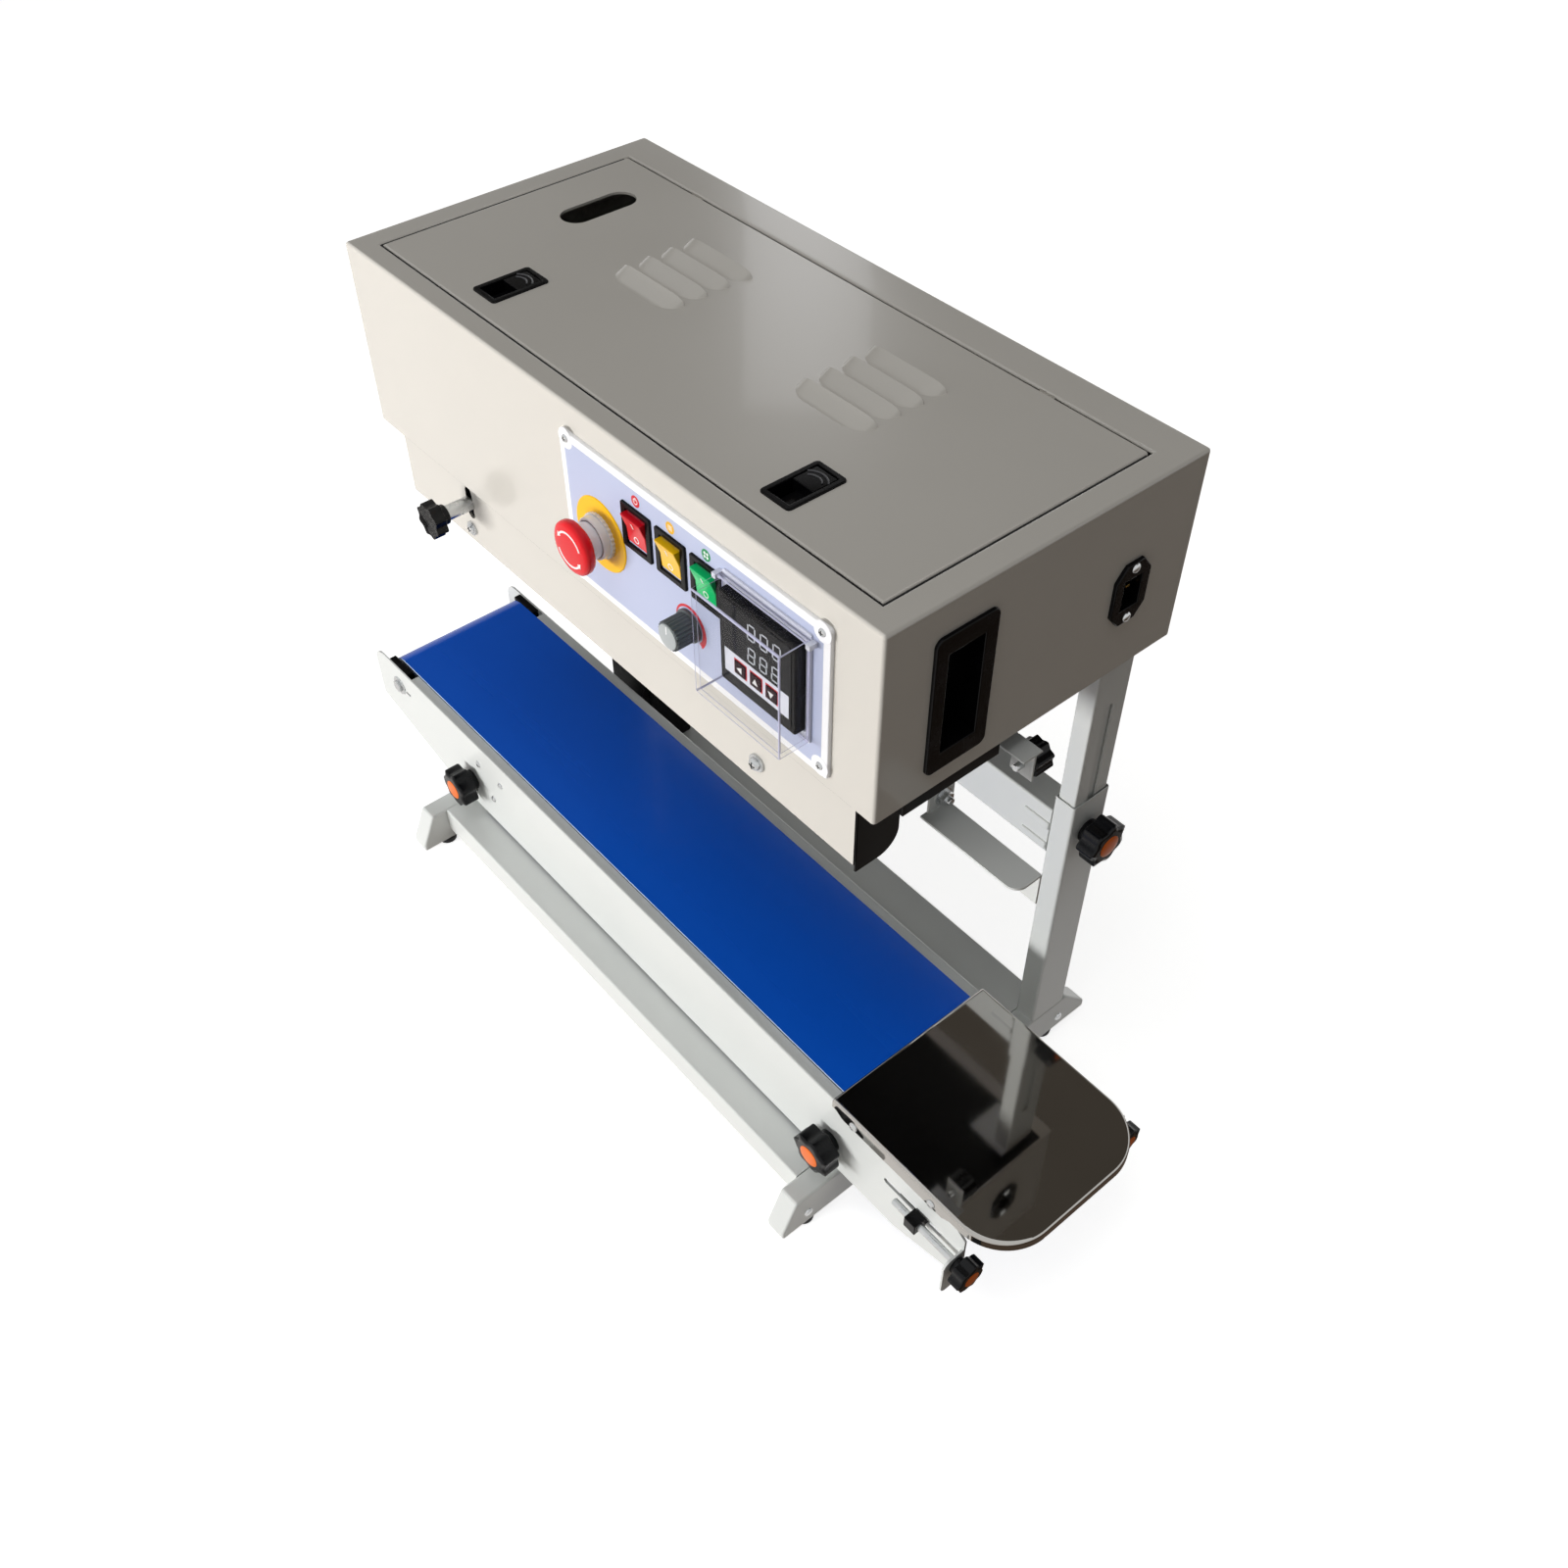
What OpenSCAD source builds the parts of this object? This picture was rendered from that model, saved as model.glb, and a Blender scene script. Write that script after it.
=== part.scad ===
// Continuous band sealer: a height-adjustable sealing head over a belt conveyor.
// Floor at z = 0, origin under the middle of the machine.
// +X is the way the bags travel, -Y is the operator's side, +Z is up.

/* [Head case] */
// Length of the head along the bags' travel
head_w = 588; // [575:1:610]
// Depth of the head from front to back
head_d = 278; // [276:1:300]
// Height of the head
head_h = 151; // [148:1:170]
// Height of the head's underside above the floor
head_under = 474; // [465:1:500]
// Thickness of the head's sheet steel
head_sheet = 2; // [1.6:0.1:2.2]
// Width of the top rim beside the lid
rim_side = 21; // [18:1:25]
// Width of the top rim in front of the lid
rim_front = 18; // [15:1:19]
// Width of the top rim behind the lid
rim_rear = 31.5; // [28:0.5:36]
// Gap between the lid and the rim
lid_gap = 1.5; // [1:0.1:2]

/* [Control panel] */
// Width of the control panel
panel_w = 270; // [268:1:280]
// Height of the control panel
panel_h = 121; // [118:1:124]
// Thickness of the control panel
panel_t = 3; // [2:0.5:4]
// Distance from the panel to the head's outfeed end
panel_side = 40; // [38:1:48]
// Distance from the panel to the head's top edge
panel_drop = 20; // [16:1:22]
// Diameter of the stop button's cap
estop_d = 40; // [36:1:44]
// Diameter of the speed knob
speed_d = 22; // [18:1:24]
// Side of the square temperature controller
controller_w = 72; // [68:1:73]
// Depth of the clear flip-up cover
cover_d = 26; // [22:1:30]

/* [Stand] */
// Distance over the outer faces of the two feet
foot_span = 572; // [566:1:580]
// Length of a foot from front to back
foot_len = 361; // [350:1:380]
// Width of the foot and column tubes
tube_w = 20; // [19:0.5:22]
// Depth of the foot and column tubes
tube_d = 40; // [38:0.5:42]
// Wall of the foot and column tubes
tube_wall = 1.5; // [1.2:0.1:2]
// Height of the rubber feet
pad_h = 8; // [6:0.5:10]
// Height of the outer columns
column_h = 274; // [265:1:285]
// Distance of the columns behind the machine's middle
column_y = 127; // [122:1:130]

/* [Conveyor] */
// Length of the conveyor's side plates
conveyor_l = 842; // [830:1:860]
// Width of the belt
belt_w = 139; // [130:1:139]
// Height of the belt's top above the floor
belt_top = 146; // [144:1:150]
// Thickness of the belt
belt_t = 2; // [1.5:0.1:2.2]
// Clear width between the side plates
plate_gap = 156; // [156:1:160]
// Distance of the conveyor's middle in front of the machine's middle
conveyor_y = 41; // [38:1:44]
// Distance the outfeed tray reaches past the side plates
tray_overhang = 38; // [34:1:44]
// Length of the outfeed tray
tray_l = 182; // [176:1:186]
// Radius of the clamp knobs
knob_r = 20.5; // [19:0.5:23]

/* [Sealing mechanism] */
// Distance of the seal line behind the head's front
seal_y = 52; // [51:0.5:54]
// Radius of the band wheels
wheel_r = 19; // [18:0.5:20]
// Thickness of a sealing band
band_t = 1; // [0.8:0.1:1.2]
// Height of a sealing band
band_h = 15; // [12:1:16]
// Gap between the two bands, where the bag runs
seal_gap = 1; // [0.8:0.1:1.4]
// Teeth on each of the two drive gears
gear_teeth = 24; // [20:1:28]

/* [Fits] */
// Radial clearance of a turning shaft
run_gap = 0.05; // [0.02:0.01:0.09]
// Clearance between parts that pass each other
free_gap = 0.3; // [0.25:0.05:0.4]
// Radius of the clamp studs
stud_r = 4; // [3.5:0.5:4]

/* [Hidden] */
$fn = 48;

// Colours of the real finishes
head_grey = [0.80, 0.78, 0.72];
frame_grey = [0.78, 0.80, 0.75];
black = [0.08, 0.08, 0.09];
steel = [0.75, 0.76, 0.77];

// Stand
base_top = pad_h + tube_d;
foot_rear = column_y + 53.5;
foot_front = foot_rear - foot_len;
frame_cx = -tray_overhang / 2;
foot_cx = foot_span / 2 - tube_w / 2;
inner_half = foot_span / 2 - tube_w;
column_top = base_top + column_h;
knob_z = column_top - 35;
beam_h = 47;
beam_d = 26;
beam_z = column_top - 64;

// Telescopic inner column, with the room it needs to slide
inner_w = tube_w - 2 * tube_wall - 2 * free_gap;
inner_d = tube_d - 2 * tube_wall - 2 * free_gap;
column_overlap = 150;
lift_down = 120;
lift_up = 80;

// Head frame: origin at the head's front top left corner, rear wall behind the columns
column_back = 34;
head_x = frame_cx + 3 - head_w / 2;
head_y = column_y + column_back - head_d;
head_top = head_under + head_h;

// Lid and its hinge line
lid_x0 = rim_side + lid_gap;
lid_x1 = head_w - rim_side - lid_gap;
lid_y0 = rim_front + lid_gap;
lid_rear = head_d - rim_rear;
hinge_y = lid_rear - 2;
hinge_z = -1.5;
lid_y1 = hinge_y - 1.3;
knuckle_r = 2.2;
hinge_pin_r = 1;
hinge_xs = [110, head_w - 110];
latch_xs = [136, head_w - 134];
latch_y = lid_y0 + 38;
latch_w = 28;
latch_l = 48;
louvre_l = 60;
louvre_d = 15;
louvre_h = 6;

// Control panel
panel_x1 = head_w - panel_side;
panel_x0 = panel_x1 - panel_w;
panel_z1 = -panel_drop;
panel_z0 = panel_z1 - panel_h;
estop_x = panel_x0 + 40.5;
estop_z = panel_z1 - 64;
rocker_xs = [panel_x0 + 84, panel_x0 + 120, panel_x0 + 156];
rocker_z = panel_z1 - 37;
speed_x = panel_x0 + 135.5;
speed_z = panel_z1 - 82;
controller_x = panel_x1 - 56;
controller_z = panel_z1 - 56;
cover_w = controller_w + 10;
cover_h = controller_w + 12;
cover_pivot_y = -panel_t - 4;
cover_pivot_z = controller_z + cover_h / 2 - 3;

// Side openings of the head
handle_y = 66;
handle_z = -80;
inlet_y = 218;
inlet_z = -82;

// Conveyor
plate_t = 2;
plate_half = plate_gap / 2 + plate_t;
conveyor_x0 = frame_cx - conveyor_l / 2;
conveyor_x1 = frame_cx + conveyor_l / 2;
plate_top = belt_top - 1.5;
plate_bottom = base_top + 4;
belt_r = 25;
roller_r = belt_r - belt_t - free_gap;
roller_z = belt_top - belt_r;
drive_x = conveyor_x0 + 43;
tension_x = conveyor_x1 - 60;
tension_travel = 8;
axle_r = 6;
rod_y = plate_half + 7;
rod_r = 3;
tension_z = roller_z - 15;
carrier_x = tension_x + 16;
clamp_z = base_top + 38;
clamp_lift = 12;
clamp_xs = [frame_cx - inner_half + 15, frame_cx + inner_half + 9];
tray_t = 1.5;
tray_half = plate_half + 0.5 + tray_t;
tray_z = belt_top + 2;
tray_x1 = conveyor_x1 + tray_overhang;
tray_x0 = tray_x1 - tray_l;
tray_r = 45;
tray_screw_xs = [tray_x1 - 158, tray_x1 - 73];

// Sealing mechanism, below and above its carrier plate
mech_t = 4;
mech_z = -head_h + head_sheet;
band_r = wheel_r + band_t;
front_wheel_y = seal_y - seal_gap / 2 - band_r;
rear_wheel_y = seal_y + seal_gap / 2 + band_r;
gear_r = (rear_wheel_y - front_wheel_y) / 2;
gear_z = mech_z + mech_t + 0.5;
gear_t = 10;
idler_x = 70;
drive_wheel_x = head_w - 68;
shaft_r = 6;
band_z = -head_h - 21 - band_h;
guide_z = -head_h - 52;
guide_h = 8;
guide_t = 2;
wheel_z = -head_h - 54;
fan_x = 345;
fan_y = 70;
fan_w = 80;
heater_x = 150;
block_l = 110;
skirt_z = -head_h - 55;
slot_x = 124;
stud_z = -head_h - 17;

// Places the children in the head's own frame
module in_head() translate([head_x, head_y, head_top]) children();

// Places the children at the conveyor's middle line
module at_conveyor() translate([0, -conveyor_y, 0]) children();

// Draws the children on the operator's side and mirrors them to the back
module both_sides() {
  children();
  mirror([0, 1, 0]) children();
}

// Round bar along +X, from the origin
module x_bar(r, l) rotate([0, 90, 0]) cylinder(r = r, h = l);

// Round bar along +Y, from the origin
module y_bar(r, l) rotate([-90, 0, 0]) cylinder(r = r, h = l);

// Upright outline in X and Z, given a thickness towards +Y
module xz_sheet(t) translate([0, t, 0]) rotate([90, 0, 0]) linear_extrude(t) children();

// Upright outline in Y and Z, given a thickness towards +X
module yz_sheet(t) rotate([90, 0, 90]) linear_extrude(t) children();

// Rectangle with round corners, centred
module round_rect(w, h, r) {
  square([w - 2 * r, h], center = true);
  square([w, h - 2 * r], center = true);
  for (sx = [-1, 1], sy = [-1, 1])
    translate([sx * (w / 2 - r), sy * (h / 2 - r)]) circle(r);
}

// Slot between two points on one level or one upright line
module slot_2d(a, b, r) {
  for (p = [a, b]) translate(p) circle(r);
  translate([min(a.x, b.x) - (a.x == b.x ? r : 0), min(a.y, b.y) - (a.x == b.x ? 0 : r)])
    square([a.x == b.x ? 2 * r : abs(b.x - a.x), a.x == b.x ? abs(b.y - a.y) : 2 * r]);
}

// Outline of a lobed hand knob
module star_2d(r, lobes) {
  difference() {
    circle(r);
    for (i = [0:lobes - 1]) rotate(i * 360 / lobes) translate([r * 1.12, 0]) circle(r * 0.3);
  }
}

// Hand knob along +Z: neck on the clamped face, lobed head, cap, and a stud behind
module star_knob(r, stud_l, shank_r = stud_r) {
  neck_h = 0.34 * r;
  head_l = 0.84 * r;
  cap_h = 1.5;
  translate([0, 0, 0.1]) cylinder(r = r * 0.5, h = neck_h - 0.1);
  difference() {
    translate([0, 0, neck_h]) linear_extrude(head_l) star_2d(r, 7);
    translate([0, 0, neck_h + head_l - cap_h]) cylinder(r = r * 0.5 + 0.1, h = cap_h + 1);
  }
  translate([0, 0, neck_h + head_l - cap_h]) cylinder(r = r * 0.5, h = cap_h + 0.5);
  translate([0, 0, -stud_l]) cylinder(r = shank_r, h = stud_l + neck_h);
}

// Outline of a spur gear with straight-sided teeth
module gear_2d(teeth, pitch_r, phase) {
  m = 2 * pitch_r / teeth;
  p = 360 / teeth;
  corners = [[-0.27, -1.2], [-0.1, 0.85], [0.1, 0.85], [0.27, -1.2]];
  polygon([
    for (i = [0:teeth - 1], c = corners)
      let (a = phase + (i + c[0]) * p, r = pitch_r + c[1] * m) [r * cos(a), r * sin(a)]
  ]);
}

// Outline of a belt loop round two equal wheels on one level
module loop_2d(x0, x1, r) {
  for (x = [x0, x1]) translate([x, 0]) circle(r);
  translate([x0, -r]) square([x1 - x0, 2 * r]);
}

// Stand

// Side outline of a foot: flat top, both ends slanting out to the floor
module foot_2d(inset) {
  front = foot_front + inset;
  rear = foot_rear - inset;
  toe_h = 8;
  polygon([
    [front, pad_h + inset], [rear, pad_h + inset], [rear, pad_h + toe_h],
    [rear - 29.5, base_top - inset], [front + 14.5, base_top - inset], [front, pad_h + toe_h]
  ]);
}

pad_ys = [foot_front + 30, foot_rear - 45];

module foot_tubes() {
  color(frame_grey)
  for (s = [-1, 1]) translate([frame_cx + s * foot_cx - tube_w / 2, 0, 0])
    difference() {
      yz_sheet(tube_w) foot_2d(0);
      translate([tube_wall, 0, 0]) yz_sheet(tube_w - 2 * tube_wall) foot_2d(tube_wall);
      for (y = pad_ys) translate([tube_w / 2, y, pad_h - 1]) cylinder(r = 5, h = tube_wall + 2);
    }
}

module rubber_feet() {
  color(black)
  for (s = [-1, 1], y = pad_ys) translate([frame_cx + s * foot_cx, y, 0]) {
    cylinder(r1 = 9, r2 = 10, h = pad_h);
    translate([0, 0, pad_h]) cylinder(r = 4.8, h = 6);
  }
}

module base_plate() {
  front = foot_front + 30.5;
  back = column_y + 7;
  fold = 26;
  sheet = 2;
  color(frame_grey)
  translate([frame_cx - inner_half, 0, 0]) yz_sheet(2 * inner_half)
    difference() {
      translate([front, base_top - fold]) square([back - front, fold]);
      translate([front + sheet, base_top - fold - 1]) square([back - front - 2 * sheet, fold + 1 - sheet]);
    }
}

module outer_columns() {
  color(frame_grey)
  for (s = [-1, 1]) translate([frame_cx + s * foot_cx, column_y, 0])
    difference() {
      translate([0, 0, base_top]) linear_extrude(column_h)
        difference() {
          square([tube_w, tube_d], center = true);
          square([tube_w - 2 * tube_wall, tube_d - 2 * tube_wall], center = true);
        }
      translate([s > 0 ? 0 : -tube_w, 0, knob_z]) x_bar(stud_r + run_gap, tube_w);
    }
}

module cross_beam() {
  sheet = 2;
  color(frame_grey)
  translate([frame_cx - inner_half, column_y - tube_d / 2, beam_z]) yz_sheet(2 * inner_half)
    difference() {
      square([beam_d, beam_h]);
      translate([sheet, sheet]) square([beam_d, beam_h - 2 * sheet]);
    }
}

// Angle bracket behind a side plate, standing on the base
module clamp_bracket(x) {
  upright_t = 3;
  bracket_w = 24;
  bracket_h = 60;
  foot_d = 22;
  back = plate_gap / 2 - free_gap - upright_t;
  translate([x - bracket_w / 2, -back - upright_t, base_top]) cube([bracket_w, upright_t, bracket_h]);
  translate([x - bracket_w / 2, -back, base_top]) cube([bracket_w, foot_d, 2.5]);
}

// Two brackets that the conveyor is clamped to, and the black drive box on the base behind it
module conveyor_brackets() {
  nut_t = 6;
  box_w = 66;
  box_d = 48;
  box_h = 102;
  color(black)
  translate([frame_cx - inner_half + 1, column_y - tube_d / 2 - box_d - 0.5, base_top])
    cube([box_w, box_d, box_h]);
  color(frame_grey)
  at_conveyor()
  for (x = clamp_xs) {
    difference() {
      clamp_bracket(x);
      translate([x, -plate_gap / 2 - 1, clamp_z]) y_bar(stud_r + run_gap, 10);
    }
    mirror([0, 1, 0]) {
      clamp_bracket(x);
      translate([x, -plate_half - free_gap - nut_t, clamp_z]) {
        y_bar(stud_r, plate_t + 2 * free_gap + nut_t + 1);
        y_bar(9, nut_t);
      }
    }
  }
}

module left_column_knob() {
  color(black)
  translate([frame_cx - foot_span / 2, column_y, knob_z]) rotate([0, -90, 0])
    star_knob(knob_r, tube_wall + free_gap + 4);
}

module right_column_knob() {
  color(black)
  translate([frame_cx + foot_span / 2, column_y, knob_z]) rotate([0, 90, 0])
    star_knob(knob_r, tube_wall + free_gap + 4);
}

module conveyor_knob(x) {
  color(black)
  at_conveyor() translate([x, -plate_half, clamp_z]) rotate([90, 0, 0])
    star_knob(knob_r, plate_t + free_gap + 6);
}

module left_conveyor_knob() conveyor_knob(clamp_xs[0]);

module right_conveyor_knob() conveyor_knob(clamp_xs[1]);

// Conveyor

// Side plate's outline, with its round infeed ear, tension slot and clamp slots
module side_plate_2d() {
  ear_r = 16;
  difference() {
    union() {
      translate([conveyor_x0 + ear_r, plate_top - ear_r]) circle(ear_r);
      polygon([
        [conveyor_x0, plate_bottom + 31], [conveyor_x0 + 126, plate_bottom],
        [conveyor_x1 - 72, plate_bottom], [conveyor_x1, plate_bottom + 22],
        [conveyor_x1, plate_top - 16], [conveyor_x1 - 21, plate_top],
        [conveyor_x0 + ear_r, plate_top], [conveyor_x0, plate_top - ear_r]
      ]);
    }
    slot_2d([tension_x - 22, tension_z], [tension_x + 34, tension_z], 3);
    slot_2d([drive_x + 13, roller_z - 2], [drive_x + 18, roller_z - 2], 1.6);
    for (x = clamp_xs) slot_2d([x, clamp_z - clamp_lift], [x, clamp_z], stud_r + 0.5);
  }
}

module side_plates() {
  flange_w = 8;
  end_flange = 20;
  flange_x0 = drive_x + 26;
  color(frame_grey)
  at_conveyor() both_sides()
    difference() {
      union() {
        translate([0, -plate_half, 0]) xz_sheet(plate_t) side_plate_2d();
        translate([flange_x0, -plate_half, plate_top - plate_t])
          cube([conveyor_x1 - 21 - flange_x0, plate_t + flange_w, plate_t]);
        translate([conveyor_x1 - plate_t, -plate_half - end_flange, plate_bottom + 22])
          cube([plate_t, end_flange + plate_t, tension_z + 11 - plate_bottom - 22]);
      }
      translate([conveyor_x1 - 10, -rod_y, tension_z]) x_bar(rod_r + run_gap, 20);
    }
}

module slider_bed() {
  bed_x0 = drive_x + 32;
  bed_x1 = tension_x - roller_r - tension_travel - 4;
  bed_top = belt_top - belt_t - free_gap;
  color(steel)
  at_conveyor() {
    translate([bed_x0, -plate_gap / 2, plate_top - plate_t - 2]) cube([bed_x1 - bed_x0, plate_gap, 2]);
    translate([bed_x0, -belt_w / 2 + 1, plate_top - plate_t])
      cube([bed_x1 - bed_x0, belt_w - 2, bed_top - plate_top + plate_t]);
  }
}

module conveyor_belt() {
  color([0.05, 0.27, 0.66])
  at_conveyor() translate([0, -belt_w / 2, roller_z]) xz_sheet(belt_w)
    difference() {
      loop_2d(drive_x, tension_x, belt_r);
      loop_2d(drive_x, tension_x, belt_r - belt_t);
    }
}

// Fixed axle of the motorised drive roller, held in a black block at each plate
module drive_axle() {
  block_w = 34;
  block_t = plate_gap / 2 - belt_w / 2 - 1;
  color(black)
  at_conveyor() {
    translate([drive_x, -plate_gap / 2, roller_z]) y_bar(axle_r, plate_gap);
    both_sides() translate([drive_x - block_w / 2, -plate_gap / 2, roller_z - 10])
      cube([block_w, block_t, plate_top - roller_z + 10]);
  }
}

module conveyor_roller(x) {
  color(steel)
  at_conveyor() translate([x, -belt_w / 2 + 0.5, roller_z])
    difference() {
      y_bar(roller_r, belt_w - 1);
      translate([0, -1, 0]) y_bar(axle_r + run_gap, belt_w + 2);
    }
}

module drive_roller() conveyor_roller(drive_x);

module tension_roller() conveyor_roller(tension_x);

// Sliding axle with a threaded block outside each side plate
module tension_axle() {
  block_w = 12;
  block_t = 12;
  block_y = plate_half + 1;
  carrier_t = 5;
  carrier_y = plate_gap / 2 - free_gap;
  lug_h = 6 - 2 * free_gap;
  color(black)
  at_conveyor() difference() {
    union() {
      translate([tension_x, -carrier_y, roller_z]) y_bar(axle_r, 2 * carrier_y);
      both_sides() {
        translate([tension_x - 9, -carrier_y, tension_z - 6])
          cube([carrier_x + block_w / 2 - tension_x + 9, carrier_t, roller_z + 9 - tension_z + 6]);
        translate([carrier_x - block_w / 2, -block_y - block_t, tension_z - lug_h / 2])
          cube([block_w, block_y + block_t - carrier_y, lug_h]);
        translate([carrier_x - block_w / 2, -block_y - block_t, tension_z - 6]) cube([block_w, block_t, 12]);
      }
    }
    both_sides() translate([carrier_x - block_w, -rod_y, tension_z]) x_bar(rod_r + run_gap, 2 * block_w);
  }
}

module tension_screw() {
  rod_reach = conveyor_x1 - tension_x + 7;
  color(black)
  translate([conveyor_x1, -rod_y, tension_z]) rotate([0, 90, 0]) star_knob(knob_r - 6, rod_reach, rod_r);
}

module front_tension_screw() at_conveyor() tension_screw();

module rear_tension_screw() at_conveyor() mirror([0, 1, 0]) tension_screw();

// Tray outline: square infeed edge, two large outfeed corners
module tray_2d(inset) {
  r = tray_r - inset;
  half = tray_half - inset;
  end = tray_x1 - inset;
  translate([tray_x0, -half]) square([end - r - tray_x0, 2 * half]);
  translate([tray_x0, -half + r]) square([end - tray_x0, 2 * (half - r)]);
  for (s = [-1, 1]) translate([end - r, s * (half - r)]) circle(r);
}

module outfeed_tray() {
  rim_h = 10;
  lip_h = 15;
  lip_x0 = tray_x0 + 4;
  lip_x1 = tray_x0 + 128;
  color([0.55, 0.55, 0.55])
  at_conveyor() {
    translate([0, 0, tray_z]) linear_extrude(tray_t) tray_2d(0);
    translate([0, 0, tray_z + tray_t - rim_h]) linear_extrude(rim_h)
      difference() {
        tray_2d(0);
        tray_2d(tray_t);
      }
    both_sides() translate([0, -tray_half, tray_z + tray_t]) xz_sheet(tray_t)
      polygon([
        [lip_x0, 0], [lip_x0, -rim_h], [lip_x0 + 8, -lip_h],
        [lip_x1 - 8, -lip_h], [lip_x1, -rim_h], [lip_x1, 0]
      ]);
  }
}

// Round screw head on the outside of a side plate
module plate_screw(x, z, r, depth) translate([x, -depth - 2, z]) y_bar(r, 2);

module conveyor_screws() {
  rivets = [[clamp_xs[0] + 17, 33], [clamp_xs[0] + 55, 33], [clamp_xs[0] + 36, 0]];
  color(steel)
  at_conveyor() both_sides() {
    for (p = rivets) plate_screw(p.x, clamp_z + p.y, 3.5, plate_half);
    for (x = tray_screw_xs) plate_screw(x, tray_z - 9, 4, tray_half);
    plate_screw(drive_x, roller_z, 10, plate_half);
    plate_screw(drive_x, roller_z, 6.5, plate_half + 2);
  }
}

// Head case and lid

// Case knuckle and pin of one lid hinge
module case_knuckle(x) {
  translate([x - 7, hinge_y, hinge_z]) x_bar(knuckle_r, 14);
  translate([x - 7, hinge_y, hinge_z - knuckle_r]) cube([14, 3.5, knuckle_r]);
  translate([x - 18, hinge_y, hinge_z]) x_bar(hinge_pin_r, 36);
}

module head_case() {
  window = 12;
  flange = 12;
  handle_cut = [34, 92];
  color(head_grey)
  in_head() {
    difference() {
      translate([0, 0, -head_h]) cube([head_w, head_d, head_h]);
      translate([head_sheet, head_sheet, -head_h - 1])
        cube([head_w - 2 * head_sheet, head_d - 2 * head_sheet, head_h + 1 - head_sheet]);
      translate([rim_side, rim_front, -head_sheet - 1])
        cube([head_w - 2 * rim_side, lid_rear - rim_front, head_sheet + 2]);
      for (x = hinge_xs) translate([x - 20, lid_rear - 1, -head_sheet - 1]) cube([40, 1.8, head_sheet + 2]);
      translate([panel_x0 + window, -1, panel_z0 + window])
        cube([panel_w - 2 * window, head_sheet + 2, panel_h - 2 * window]);
      translate([0, -1, 0]) xz_sheet(head_sheet + 2)
        slot_2d([slot_x, -head_h + 7], [slot_x, -head_h - 20], stud_r + 0.5);
      for (x = [-1, head_w - head_sheet - 1]) translate([x, handle_y, handle_z]) yz_sheet(head_sheet + 2)
        square(handle_cut, center = true);
      translate([head_w - head_sheet - 1, inlet_y, inlet_z]) yz_sheet(head_sheet + 2)
        square([22.5, 28.5], center = true);
    }
    for (x = hinge_xs) case_knuckle(x);
    translate([head_sheet, head_d - head_sheet - flange, -head_h])
      cube([head_w - 2 * head_sheet, flange, head_sheet]);
  }
}

// Pressed louvre: a sloping hood with round front corners, open to the back
module louvre(x, y) {
  r = louvre_d - 4;
  skin = 1.2;
  translate([x, y, 0]) intersection() {
    yz_sheet(louvre_l)
      polygon([[0, -1], [0, 0], [louvre_d, louvre_h], [louvre_d, louvre_h - skin], [3, 0], [3, -1]]);
    translate([0, 0, -2]) linear_extrude(louvre_h + 4) union() {
      translate([0, r]) square([louvre_l, louvre_d - r]);
      translate([r, 0]) square([louvre_l - 2 * r, louvre_d]);
      for (rx = [r, louvre_l - r]) translate([rx, r]) circle(r);
    }
  }
}

louvre_xs = [172, head_w - 158 - louvre_l];
louvre_ys = [for (i = [0:3]) lid_y0 + 99 + i * 20.5];

module lid() {
  fold = 12;
  hole_x = 78;
  color(head_grey)
  in_head() difference() {
    union() {
      difference() {
        translate([lid_x0, lid_y0, -fold]) cube([lid_x1 - lid_x0, lid_y1 - lid_y0, fold]);
        translate([lid_x0 + head_sheet, lid_y0 + head_sheet, -fold - 1])
          cube([lid_x1 - lid_x0 - 2 * head_sheet, lid_y1 - lid_y0, fold + 1 - head_sheet]);
        translate([0, 0, -head_sheet - 1]) linear_extrude(head_sheet + 2)
          slot_2d([hole_x, lid_y0 + 136], [hole_x, lid_y0 + 176], 13);
        for (x = latch_xs) translate([x, latch_y, -head_sheet - 1]) linear_extrude(head_sheet + 2)
          square([latch_w - 4, latch_l - 4], center = true);
        for (x = latch_xs) translate([x - 7, lid_y0 - 1, -9.5]) cube([14, head_sheet + 2, 4]);
        for (x = louvre_xs, y = louvre_ys) translate([x + 2, y + 5, -head_sheet - 1])
          cube([louvre_l - 4, louvre_d - 6, head_sheet + 2]);
        for (x = hinge_xs) translate([x - 8, hinge_y - 2.7, -fold]) cube([16, 5, fold + 1]);
      }
      for (x = louvre_xs, y = louvre_ys) louvre(x, y);
      for (x = hinge_xs, s = [-1, 1]) translate([x + s * 13 - 5, 0, 0]) {
        translate([0, hinge_y, hinge_z]) x_bar(knuckle_r, 10);
        translate([0, hinge_y - 3.5, hinge_z - knuckle_r]) cube([10, 3.5, knuckle_r]);
      }
    }
    for (x = hinge_xs) translate([x - 20, hinge_y, hinge_z]) x_bar(hinge_pin_r + run_gap, 40);
  }
}

module latch_frames() {
  depth = 12;
  bezel_t = 1.5;
  wall = 1.8;
  color(black)
  in_head() for (x = latch_xs) translate([x, latch_y, 0])
    difference() {
      union() {
        linear_extrude(bezel_t) round_rect(latch_w, latch_l, 3);
        translate([0, 0, -depth]) linear_extrude(depth) square([latch_w - 4.4, latch_l - 4.4], center = true);
      }
      translate([0, 0, -depth + wall]) linear_extrude(depth + bezel_t)
        square([latch_w - 8, latch_l - 8], center = true);
      translate([-6.5, -latch_l / 2, -depth + wall]) cube([13, 6, 5]);
    }
}

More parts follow.
